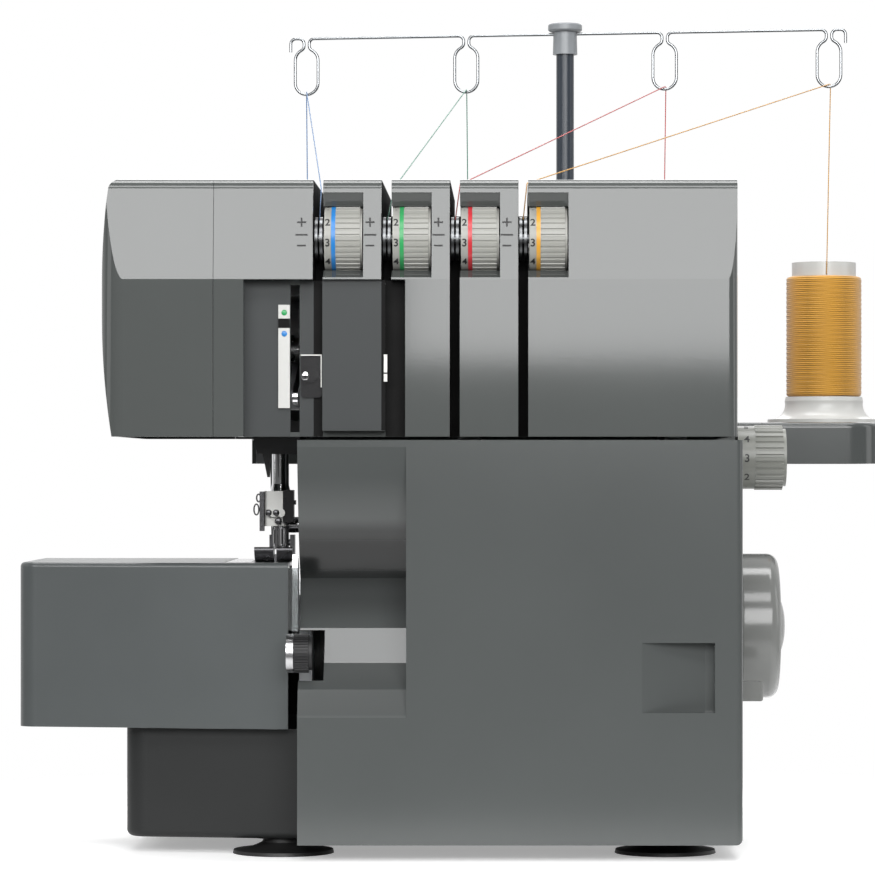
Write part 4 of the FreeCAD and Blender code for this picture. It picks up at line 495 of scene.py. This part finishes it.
# A grid of points (rows, columns, 3) made a mesh; rows or columns may close on themselves
def gridPiece(name, points, closeRows=False, closeColumns=False, capEnds=False, uv=None):
    rows, columns = points.shape[:2]
    index = np.arange(rows * columns).reshape(rows, columns)
    r = np.arange(rows if closeRows else rows - 1)
    k = np.arange(columns if closeColumns else columns - 1)
    rr, kk = np.meshgrid(r, k, indexing="ij")
    nextRow, nextColumn = (rr + 1) % rows, (kk + 1) % columns
    quads = np.stack([index[rr, kk], index[rr, nextColumn],
                      index[nextRow, nextColumn], index[nextRow, kk]], -1)
    faces = quads.reshape(-1, 4).tolist()
    if capEnds:
        faces.append(index[0, ::-1].tolist())
        faces.append(index[-1].tolist())
    mesh = bpy.data.meshes.new(name)
    mesh.from_pydata(points.reshape(-1, 3).tolist(), [], faces)
    if uv is not None:
        layer = mesh.uv_layers.new(name="UVMap")
        vertex = np.empty(len(mesh.loops), np.int32)
        mesh.loops.foreach_get("vertex_index", vertex)
        layer.data.foreach_set("uv", uv.reshape(-1, 2)[vertex].astype(np.float32).ravel())
    mesh.polygons.foreach_set("use_smooth", np.ones(len(mesh.polygons), bool))
    piece = bpy.data.objects.new(name, mesh)
    scene.collection.objects.link(piece)
    return piece


# A closed piece's faces turned outward
def faceOutward(piece):
    work = bmesh.new()
    work.from_mesh(piece.data)
    bmesh.ops.recalc_face_normals(work, faces=work.faces)
    work.to_mesh(piece.data)
    work.free()
    return piece


# A piece shaded flat, for sharp edges
def faceted(piece):
    piece.data.polygons.foreach_set("use_smooth", np.zeros(len(piece.data.polygons), bool))
    return piece


def finishPiece(piece, material, body):
    piece.data.materials.append(material)
    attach(piece, body)
    return piece


# Threads: taut from package to eyelet to slot, a tube round the route's own smooth line

threadShape = dict(radius=0.25 * mm, sides=8, uvLength=0.3, nearEyelet=2.7 * mm, nearSlot=1.4 * mm,
                   rimInset=1.4 * mm, abovePackage=0.35 * mm, aboveHead=0.45 * mm, slotLean=1.75 * mm,
                   discsBehind=3.0 * mm, discsAbove=8.6 * mm, ramp=(0.2985, 0.3555))
# Side of the package that the thread leaves, side of the slot that it leans to, eyelet and slot edge in mm
threadRoutes = dict(
    blue=dict(packageSide=1, slotSide=-1, eyelet=(-82.03, 110.38, 357.06), edgeY=-58.91),
    green=dict(packageSide=1, slotSide=1, eyelet=(-2.70, 97.64, 357.00), edgeY=-64.65),
    red=dict(packageSide=-1, slotSide=1, eyelet=(94.52, 82.48, 357.03), edgeY=-82.33),
    yellow=dict(packageSide=-1, slotSide=1, eyelet=(173.70, 69.62, 356.92), edgeY=-89.94),
)


# Four points of a thread: package rim, eyelet, upper edge of the slot, tension discs
def threadPoints(c, v):
    route = threadRoutes[c]
    low, high = cornersOf("thread_package_" + c)
    x, y = (low[:2] + high[:2]) / 2
    rim = (high[1] - low[1]) / 2 - v["rimInset"]
    dialLow, dialHigh = cornersOf("tension_dial_" + c)
    dialY, dialZ = (dialLow[1:] + dialHigh[1:]) / 2
    slot = slotMiddle(c)
    points = [(x, y + route["packageSide"] * rim, high[2] + v["abovePackage"]),
              np.array(route["eyelet"]) * mm,
              (slot + route["slotSide"] * v["slotLean"], route["edgeY"] * mm, headHigh[2] + v["aboveHead"]),
              (slot, dialY + v["discsBehind"], dialZ + v["discsAbove"])]
    return np.round(np.array(points), 6)  # the boxes come in single precision


# Points read from a quadratic NURBS line through the route
def smoothLine(name, points):
    data = bpy.data.curves.new(name, "CURVE")
    data.dimensions = "3D"
    data.resolution_u = 24
    spline = data.splines.new("NURBS")
    spline.points.add(len(points) - 1)
    spline.points.foreach_set("co", np.column_stack([points, np.ones(len(points))]).ravel())
    spline.order_u = 3
    spline.use_endpoint_u = True
    holder = bpy.data.objects.new(name, data)
    scene.collection.objects.link(holder)
    bpy.context.view_layer.update()
    mesh = bpy.data.meshes.new_from_object(holder.evaluated_get(bpy.context.evaluated_depsgraph_get()))
    line = np.empty(len(mesh.vertices) * 3)
    mesh.vertices.foreach_get("co", line)
    bpy.data.objects.remove(holder)
    bpy.data.meshes.remove(mesh)
    return line.reshape(-1, 3)


# A circle carried along a line: each ring lies across the line's own direction
def tubeAlong(name, line, v):
    along = np.gradient(line, axis=0)
    along /= np.linalg.norm(along, axis=1, keepdims=True)
    side = np.cross(along, np.array([1.0, 0.3, 0.0]))  # no thread runs along this level line
    side /= np.linalg.norm(side, axis=1, keepdims=True)
    up = np.cross(side, along)
    angle = np.linspace(0, 2 * np.pi, v["sides"], endpoint=False)
    ring = side[:, None] * np.cos(angle)[None, :, None] + up[:, None] * np.sin(angle)[None, :, None]
    points = line[:, None] + v["radius"] * ring
    run = np.concatenate([[0], np.cumsum(np.linalg.norm(np.diff(line, axis=0), axis=1))]) / v["uvLength"]
    uv = np.stack(np.broadcast_arrays(angle[None, :] / (2 * np.pi), run[:, None]), -1)
    return faceOutward(gridPiece(name, points, closeColumns=True, capEnds=True, uv=uv))


# A point this far from one place on the way to another
def towards(place, other, distance):
    return place + (other - place) * distance / np.linalg.norm(other - place)


def addThread(c, v):
    start, top, edge, end = threadPoints(c, v)
    route = np.array([start, towards(top, start, v["nearEyelet"]), top, towards(top, edge, v["nearEyelet"]),
                      towards(edge, top, v["nearSlot"]), edge, towards(edge, end, v["nearSlot"]), end])
    line = smoothLine("route_" + c, route)
    keep = np.concatenate([[True], np.linalg.norm(np.diff(line, axis=0), axis=1) > 1e-6])
    line = line[keep]
    piece = tubeAlong("taut_thread_" + c, line, v)
    piece.data.materials.append(singleThread[c])
    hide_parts("thread_" + c)
    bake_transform(piece)


for c in colourNames:
    addThread(c, threadShape)


# Points turned about an axis along X through y and z; profile rows are (x, radius), closed on themselves
def spunAlongX(name, profile, y, z, steps=96):
    profile = np.asarray(profile, float)
    angle = np.linspace(0, 2 * np.pi, steps, endpoint=False)
    x, r = profile[:, 0][:, None], profile[:, 1][:, None]
    points = np.stack([x + 0 * angle, y - r * np.cos(angle), z + r * np.sin(angle)], -1)
    return faceOutward(gridPiece(name, points, closeRows=True, closeColumns=True))


# Several boxes in one piece; each is (low corner, high corner)
def boxesPiece(name, boxes):
    low = np.array([b[0] for b in boxes], float)[:, None]
    high = np.array([b[1] for b in boxes], float)[:, None]
    unit = np.array([[0, 0, 0], [1, 0, 0], [1, 1, 0], [0, 1, 0],
                     [0, 0, 1], [1, 0, 1], [1, 1, 1], [0, 1, 1]], float)
    points = low + (high - low) * unit[None]
    face = np.array([[0, 3, 2, 1], [4, 5, 6, 7], [0, 1, 5, 4], [1, 2, 6, 5], [2, 3, 7, 6], [3, 0, 4, 7]])
    faces = (face[None] + 8 * np.arange(len(boxes))[:, None, None]).reshape(-1, 4)
    mesh = bpy.data.meshes.new(name)
    mesh.from_pydata(points.reshape(-1, 3).tolist(), [], faces.tolist())
    piece = bpy.data.objects.new(name, mesh)
    scene.collection.objects.link(piece)
    return piece


# Digits set flat, made a mesh, and wrapped round a drum: height above the line becomes an angle
def wrappedDigits(name, x, y, z, v):
    pieces = []
    for place, digit in enumerate(v["numbers"]):
        data = bpy.data.curves.new(name, "FONT")
        data.body = digit
        data.size = v["size"]
        data.align_x = "CENTER"
        data.align_y = "CENTER"
        data.extrude = v["thick"]
        data.offset = v["bold"]
        holder = bpy.data.objects.new(name, data)
        scene.collection.objects.link(holder)
        bpy.context.view_layer.update()
        mesh = bpy.data.meshes.new_from_object(holder.evaluated_get(bpy.context.evaluated_depsgraph_get()))
        bpy.data.objects.remove(holder)
        flat = np.empty(len(mesh.vertices) * 3)
        mesh.vertices.foreach_get("co", flat)
        flat = flat.reshape(-1, 3)
        angle = v["first"] - v["pitch"] * place + flat[:, 1] / v["drum"]
        out = v["drum"] + flat[:, 2]
        bent = np.stack([x + flat[:, 0], y - out * np.cos(angle), z + out * np.sin(angle)], -1)
        mesh.vertices.foreach_set("co", bent.ravel())
        mesh.update()
        piece = bpy.data.objects.new(name + digit, mesh)
        scene.collection.objects.link(piece)
        pieces.append(piece)
    return pieces


# Tension dials: a colour ring let onto the turned band, and printed numbers round the narrow rim

dialTrim = dict(bandFrom=3.05 * mm, bandTo=4.85 * mm, bandInside=13.6 * mm, bandOutside=14.98 * mm,
                numbers="12345678", numberAt=1.5 * mm, drum=14.6 * mm, size=4.7 * mm,
                first=math.radians(61.6), pitch=math.radians(36.0), thick=0.04 * mm, bold=0.10 * mm)
ringFinish = dict(blue="ringBlue", green="ringGreen", red="ringRed", yellow="ringYellow")


def addDialTrim(c, v):
    low, high = cornersOf("tension_dial_" + c)
    y, z = (low[1] + high[1]) / 2, (low[2] + high[2]) / 2
    a, b = low[0] + v["bandFrom"], low[0] + v["bandTo"]
    profile = [(a, v["bandInside"]), (a, v["bandOutside"]), (b, v["bandOutside"]), (b, v["bandInside"])]
    ring = faceted(spunAlongX("dial_ring_" + c, profile, y, z))
    finishPiece(ring, finish[ringFinish[c]], "dial_" + c)
    for digit in wrappedDigits("dial_" + c + "_number_", low[0] + v["numberAt"], y, z, v):
        finishPiece(digit, finish["printBlack"], "dial_" + c)


for c in colourNames:
    addDialTrim(c, dialTrim)

# Stitch length dial: printed numbers beside the front cover's right side
stitchTrim = dict(numbers="54321", numberAt=4.5 * mm, drum=14.1 * mm, size=5.0 * mm, first=math.radians(72),
                  pitch=math.radians(37), thick=0.04 * mm, bold=0.06 * mm)


def addStitchNumbers(v):
    low, high = cornersOf("stitch_length_dial")
    y, z = (low[1] + high[1]) / 2, (low[2] + high[2]) / 2
    for digit in wrappedDigits("stitch_number_", coverHigh[0] + v["numberAt"], y, z, v):
        finishPiece(digit, finish["printBlack"], "stitch_dial")


addStitchNumbers(stitchTrim)
print("dials trimmed")


# Wound packages: a barrel whose surface carries crossing helix ridges, fading out on the rounded ends

package = dict(rows=150, columns=200, ridge=0.10 * mm, ridgesAlong=26, ridgesAround=3, endRound=1.6 * mm,
               inner=15.65 * mm)


def addPackage(c, v):
    low, high = cornersOf("thread_package_" + c)
    x, y = (low[:2] + high[:2]) / 2
    radius = (high[0] - low[0]) / 2
    t = np.linspace(0, 1, v["rows"])[:, None]
    angle = np.linspace(0, 2 * np.pi, v["columns"], endpoint=False)[None, :]
    height = high[2] - low[2]
    z = low[2] + t * height
    # distance from the nearer end gives a quarter circle at the rounded rims
    near = np.clip(np.minimum(t, 1 - t) * height / v["endRound"], 0, 1)
    rim = v["endRound"] * (1 - np.sqrt(1 - (1 - near) ** 2))
    # the higher of two opposite helices stands proud, so the threads seem to cross
    leftHand = np.cos(2 * np.pi * v["ridgesAlong"] * t + v["ridgesAround"] * angle)
    rightHand = np.cos(2 * np.pi * v["ridgesAlong"] * t - v["ridgesAround"] * angle)
    r = radius - v["ridge"] - rim + v["ridge"] * np.maximum(leftHand, rightHand) * near
    wall = np.stack([x + r * np.cos(angle), y + r * np.sin(angle), z + 0 * angle], -1)
    around = np.stack([np.cos(angle[0]), np.sin(angle[0])], -1) * v["inner"] + (x, y)
    ends = [np.column_stack([around, np.full(len(around), h)]) for h in (high[2], low[2])]
    points = np.concatenate([wall, np.stack(ends)])
    tt = np.concatenate([t[:, 0], [1.0, 0.0]])
    uv = np.stack(np.broadcast_arrays(angle / (2 * np.pi), tt[:, None]), -1)
    piece = faceOutward(gridPiece("wound_package_" + c, points, closeRows=True, closeColumns=True, uv=uv))
    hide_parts("thread_package_" + c)
    finishPiece(piece, woundThread[c], "machine")


for c in colourNames:
    addPackage(c, package)
print("packages wound")


# Tension marks: plus, bar and minus printed on the leaning face left of each slot

marks = dict(fromDial=-9.8 * mm, plus=277.7 * mm, bar=272.2 * mm, minus=267.5 * mm, plusWide=4.0 * mm,
             barWide=5.3 * mm, minusWide=3.8 * mm, line=0.72 * mm, thick=0.12 * mm, crossThick=0.216 * mm,
             sunk=0.25 * mm, crease=252.9 * mm, top=296.7 * mm, lean=4.5 * mm)


# How far back the leaning face lies at a height
def leanAt(z, v):
    return v["lean"] * (z - v["crease"]) / (v["top"] - v["crease"])


# A flat printed stroke, its middle on the leaning face
def stroke(x, z, wide, high, thick, v):
    y = coverLow[1] + leanAt(z, v)
    return (x - wide / 2, y - thick, z - high / 2), (x + wide / 2, y + v["sunk"], z + high / 2)


def addMarks(v):
    boxes = []
    for c in colourNames:
        x = cornersOf("tension_dial_" + c)[0][0] + v["fromDial"]
        for z, wide in ((v["plus"], v["plusWide"]), (v["bar"], v["barWide"]), (v["minus"], v["minusWide"])):
            boxes.append(stroke(x, z, wide, v["line"], v["thick"], v))
        boxes.append(stroke(x, v["plus"], v["line"], v["plusWide"], v["crossThick"], v))
    finishPiece(boxesPiece("tension_marks", boxes), finish["printBlack"], "machine")


addMarks(marks)


# Shares of a disc's radius and height, and how far its rim goes into what carries it
disc = dict(steps=32, middle=0.02, flat=0.86, shoulder=0.6, sunk=0.4 * mm)


# A low disc facing the front: rows of (radius, height) from its middle outward
def frontDisc(name, x, y, z, radius, proud):
    angle = np.linspace(0, 2 * np.pi, disc["steps"], endpoint=False)[None, :]
    rows = np.array([(disc["middle"] * radius, proud), (disc["flat"] * radius, proud),
                     (radius, disc["shoulder"] * proud), (radius, -disc["sunk"])])
    r, h = rows[:, :1], rows[:, 1:]
    points = np.stack([x + r * np.cos(angle), y - h + 0 * angle, z + r * np.sin(angle)], -1)
    return faceOutward(gridPiece(name, points, closeColumns=True, capEnds=True))


# A wire ring facing the front, longer upright than across
def frontRing(name, x, y, z, across, upright, wire, steps=40, sides=10):
    around = np.linspace(0, 2 * np.pi, steps, endpoint=False)[:, None]
    section = np.linspace(0, 2 * np.pi, sides, endpoint=False)[None, :]
    out = wire * np.cos(section)
    points = np.stack([x + (across + out) * np.cos(around), y + wire * np.sin(section) + 0 * around,
                       z + (upright + out) * np.sin(around)], -1)
    return faceOutward(gridPiece(name, points, closeRows=True, closeColumns=True))


# Thread plate: two colour dots, and a black band of painted shade in the gap between its upper and lower
# white parts
dots = dict(radius=1.25 * mm, proud=0.25 * mm, green=238.6 * mm, blue=229.4 * mm, fromRight=-2.4 * mm,
            gapLow=231.9 * mm, gapHigh=236.0 * mm, thin=0.15 * mm)


def addDots(v):
    low, high = cornersOf("take_up_guide")
    for c, z in (("green", v["green"]), ("blue", v["blue"])):
        piece = frontDisc("guide_dot_" + c, high[0] + v["fromRight"], low[1], z, v["radius"], v["proud"])
        finishPiece(piece, finish[ringFinish[c]], "machine")
    # A thin black band on the guide's front: painted shade of the gap
    gap = [((low[0], low[1] - v["thin"], v["gapLow"]), (high[0], low[1] + v["thin"], v["gapHigh"]))]
    finishPiece(boxesPiece("guide_gap_shade", gap), finish["slotBlack"], "machine")


addDots(dots)

# Thread clip: a screw with a cross slot drawn as a black cross of painted shade, and bright bent edges along
# its top and right side
clip = dict(screwX=-70.3 * mm, screwZ=211.0 * mm, radius=1.9 * mm, proud=0.7 * mm, slotLong=2.2 * mm,
            slotWide=0.45 * mm, slotProud=(0.05 * mm, 0.07 * mm), slotSunk=0.2 * mm, edge=0.5 * mm,
            edgeProud=0.18 * mm, edgeSunk=0.3 * mm, edgeLow=206.0 * mm)


def addClip(v):
    low, high = cornersOf("thread_clip")
    x, y, z = v["screwX"], low[1], v["screwZ"]
    screw = frontDisc("clip_screw", x, y, z, v["radius"], v["proud"])
    finishPiece(screw, finish["chrome"], "machine")
    long, wide = v["slotLong"] / 2, v["slotWide"] / 2
    front = y - v["proud"]
    level, upright = front - v["slotProud"][0], front - v["slotProud"][1]
    sunk = front + v["slotSunk"]
    # The cross slot as black bars standing on the screw: painted shade of the slot
    cross = [((x - long, level, z - wide), (x + long, sunk, z + wide)),
             ((x - wide, upright, z - long), (x + wide, sunk, z + long))]
    finishPiece(boxesPiece("clip_screw_cross_shade", cross), finish["slotBlack"], "machine")
    fore, rear, under = y - v["edgeProud"], y + v["edgeSunk"], high[2] - v["edge"]
    edges = [((low[0], fore, under), (high[0], rear, high[2])),
             ((high[0] - v["edge"], fore, v["edgeLow"]), (high[0], rear, under))]
    finishPiece(boxesPiece("clip_edges", edges), finish["clampSteel"], "machine")


addClip(clip)
print("marks printed")


# Needle surround: a black collar under the head, open for the bars, drawn in towards its lower edge

collar = dict(left=-97.4 * mm, right=-75.2 * mm, front=-72.0 * mm, back=-22.0 * mm, top=192.0 * mm,
              waist=183.2 * mm, waistTaper=0.45, bottom=177.2 * mm, wall=1.4 * mm, leftInset=3.0 * mm,
              rightInset=0.4 * mm, frontInset=1.8 * mm, backInset=0.9 * mm)


# Rectangles from top to bottom, outside then back up inside, make one closed shell
def addCollar(v):
    def ring(grow, z, taper):
        a = v["left"] + taper * v["leftInset"] - grow
        b = v["right"] - taper * v["rightInset"] + grow
        c = v["front"] + taper * v["frontInset"] - grow
        d = v["back"] - taper * v["backInset"] + grow
        return [(a, c, z), (b, c, z), (b, d, z), (a, d, z)]
    rows = [ring(0, v["top"], 0), ring(0, v["waist"], v["waistTaper"]), ring(0, v["bottom"], 1),
            ring(-v["wall"], v["bottom"], 1), ring(-v["wall"], v["top"], 0)]
    piece = faceOutward(gridPiece("needle_collar", np.array(rows), closeRows=True, closeColumns=True))
    finishPiece(faceted(piece), finish["blackPlastic"], "machine")


addCollar(collar)

# Small needle parts: set screws on the clamp, a black side block, a side plate, thread loops and a
# tapered bracket; rows of numbers are millimetres: screws (x, z, radius), boxes by two corners,
# loops (x, z, half width, half height), bracket ends by two (x, y) corners
needleParts = dict(
    screws=((-89.8, 150.8, 1.45), (-86.4, 150.8, 1.45), (-85.4, 147.0, 1.6)), screwProud=0.6 * mm,
    block=((-83.4, -63.6, 146.5), (-78.4, -57.5, 161.0)),
    blockArm=((-80.0, -62.6, 154.4), (-77.6, -58.6, 156.4)),
    plate=((-94.0, -62.0, 142.5), (-92.0, -56.0, 160.3)),
    loops=((-95.6, 152.2, 1.1, 2.4), (-94.6, 157.4, 0.9, 1.7)), loopY=-59.0 * mm, wire=0.35 * mm,
    bracketTop=((-92.6, -71.0), (-88.3, -66.5)), bracketTip=((-90.0, -70.0), (-88.9, -67.5)),
    bracketHigh=180.0 * mm, bracketLow=166.8 * mm,
)


def addNeedleParts(v):
    clampFront = cornersOf("needle_clamp")[0][1]
    for k, (x, z, radius) in enumerate(v["screws"]):
        piece = frontDisc("clamp_screw_%d" % k, x * mm, clampFront, z * mm, radius * mm, v["screwProud"])
        finishPiece(piece, finish["darkSteel"], "needle_unit")
    boxes = [tuple(np.array(corner) * mm for corner in v[part]) for part in ("block", "blockArm")]
    finishPiece(boxesPiece("needle_side_block", boxes), finish["gunBlack"], "needle_unit")
    plate = [tuple(np.array(corner) * mm for corner in v["plate"])]
    finishPiece(boxesPiece("needle_side_plate", plate), finish["darkSteel"], "needle_unit")
    for k, (x, z, across, upright) in enumerate(v["loops"]):
        piece = frontRing("needle_loop_%d" % k, x * mm, v["loopY"], z * mm, across * mm, upright * mm,
                          v["wire"])
        finishPiece(piece, finish["darkSteel"], "needle_unit")
    rings = []
    for (low, high), z in ((v["bracketTop"], v["bracketHigh"]), (v["bracketTip"], v["bracketLow"])):
        (a, c), (b, d) = np.array(low) * mm, np.array(high) * mm
        rings.append([(a, c, z), (b, c, z), (b, d, z), (a, d, z)])
    bracket = faceOutward(gridPiece("needle_bracket", np.array(rings), closeColumns=True, capEnds=True))
    finishPiece(faceted(bracket), finish["blackPlastic"], "machine")


addNeedleParts(needleParts)


# Slot shade sheets and dark recess plates: thin sheets on the head's inner faces; the black ones are painted
# shade in the deep slots and the deep parts of the recess. Heights are from the table, depths from the
# head's front, and the sides of recess, guide and panel from the first slot's middle

sheetPlaces = dict(thin=0.12 * mm, slotHalf=2.2 * mm, slotFront=1.0 * mm, slotBack=27.0 * mm,
              channelFloor=281.7 * mm, channelFront=9.0 * mm, depth=139.8 * mm,
              headBottom=184.6 * mm, headTop=296.3 * mm, recessTop=252.6 * mm, pocketLow=252.4 * mm,
              pocketBack=34.0 * mm, recessBack=9.0 * mm, recessLeft=-32.3 * mm, recessRight=38.0 * mm,
              guideLeft=-12.4 * mm, guideRight=-8.2 * mm, panelFront=3.0 * mm, panelLeft=1.9 * mm,
              panelRight=29.2 * mm, panelRise=2.6 * mm)
threadBar = dict(left=-1.1 * mm, right=0.4 * mm, proud=1.2 * mm,
                 spans=((212.4 * mm, 220.2 * mm), (208.4 * mm, 211.8 * mm)))


# Six sheets for one slot, black as painted shade: back and sides of its upright part, floor and sides of its
# channel over the head
def slotSheets(x, bottom, v):
    thin, half, front = v["thin"], v["slotHalf"], coverLow[1]
    back, rear = front + v["slotBack"], front + v["depth"]
    fore, floor, top = front + v["slotFront"], v["channelFloor"], v["headTop"]
    left, right = x - half, x + half
    return [((left, back - thin, bottom), (right, back, floor)),
            ((left, fore, bottom), (left + thin, back, floor)),
            ((right - thin, fore, bottom), (right, back, v["pocketLow"])),
            ((left, back, floor), (right, rear, floor + thin)),
            ((left, front + v["channelFront"], floor), (left + thin, rear, top)),
            ((right - thin, front + v["pocketBack"], floor), (right, rear, top))]


# Sheets of the slots and upright sheets of the recess: black as painted shade in the slots and where the
# recess is deep, grey beside the take-up guide and on the panel
def addSlotShadeAndRecessPlates(v):
    black = []
    for k, c in enumerate(colourNames):
        black += slotSheets(slotMiddle(c), v["headBottom"] if k > 1 else v["recessTop"], v)
    thin, half = v["thin"], v["slotHalf"]
    back, panel = coverLow[1] + v["recessBack"], coverLow[1] + v["panelFront"]
    first, second = slotMiddle("blue"), slotMiddle("green")
    low, high, rise = v["headBottom"], v["recessTop"], v["headBottom"] + v["panelRise"]
    panelLeft, panelRight = first + v["panelLeft"], first + v["panelRight"]
    black.append(((first - half, back - thin, low), (panelLeft, back, high)))
    black.append(((second - half, panel - thin, rise), (panelRight, panel, high)))
    black.append(((panelRight, back - thin, low), (first + v["recessRight"], back, high)))
    # The black sheets: painted shade in the deep slots and the deep parts of the recess
    finishPiece(boxesPiece("slot_shade_sheets", black), finish["slotBlack"], "machine")
    grey = [((first + v["recessLeft"], back - thin, low), (first + v["guideLeft"], back, high)),
            ((first + v["guideRight"], back - thin, low), (first - half, back, high)),
            ((panelLeft, panel - thin, rise), (second - half, panel, high))]
    finishPiece(boxesPiece("recess_plates", grey), finish["recessGrey"], "machine")


# A bright bar in two lengths on the panel, at the second slot
def addThreadBar(v):
    panel = coverLow[1] + sheetPlaces["panelFront"]
    x = slotMiddle("green")
    bar = [((x + v["left"], panel - v["proud"], low), (x + v["right"], panel, high))
           for low, high in v["spans"]]
    finishPiece(boxesPiece("panel_thread_bar", bar), finish["clampSteel"], "machine")


addSlotShadeAndRecessPlates(sheetPlaces)
addThreadBar(threadBar)
print("slots lined")

# Bed shade sheet: a black sheet of painted shade, closing the view past the cloth plate's right edge to the
# rear
bed = dict(low=(-88.0 * mm, -30.6 * mm, 58.0 * mm), high=(-73.6 * mm, -30.0 * mm, 126.2 * mm))
bedShadeSheet = boxesPiece("bed_shade_sheet", [(bed["low"], bed["high"])])
finishPiece(bedShadeSheet, finish["slotBlack"], "machine")


# Floor: pale under the machine, clearing to nothing away from it so that the surround stays white

floor = dict(color=(0.90, 0.90, 0.90), rough=0.7, glow=0.34, half=1.2, rows=13, fadeFrom=0.20, fadeTo=0.42)


def addFloor(v):
    grid = np.linspace(-v["half"], v["half"], v["rows"])
    xx, yy = np.meshgrid(grid, grid, indexing="ij")
    piece = gridPiece("studioFloor", np.stack([xx, yy, np.zeros_like(xx)], -1))
    piece.data.flip_normals()
    material, nodes, links, shader = newMaterial("paleFloor")
    shader.inputs["Base Color"].default_value = (*v["color"], 1)
    shader.inputs["Roughness"].default_value = v["rough"]
    shader.inputs["Emission Color"].default_value = (1, 1, 1, 1)
    shader.inputs["Emission Strength"].default_value = v["glow"]
    place = nodes.new("ShaderNodeTexCoord")
    reach = nodes.new("ShaderNodeVectorMath")
    reach.operation = "LENGTH"
    links.new(place.outputs["Object"], reach.inputs[0])
    fade = nodes.new("ShaderNodeMapRange")
    fade.interpolation_type = "SMOOTHSTEP"
    fade.inputs["From Min"].default_value = v["fadeFrom"]
    fade.inputs["From Max"].default_value = v["fadeTo"]
    fade.inputs["To Min"].default_value = 1.0
    fade.inputs["To Max"].default_value = 0.0
    links.new(reach.outputs["Value"], fade.inputs["Value"])
    links.new(fade.outputs[0], shader.inputs["Alpha"])
    piece.data.materials.append(material)


addFloor(floor)
print("stage set")
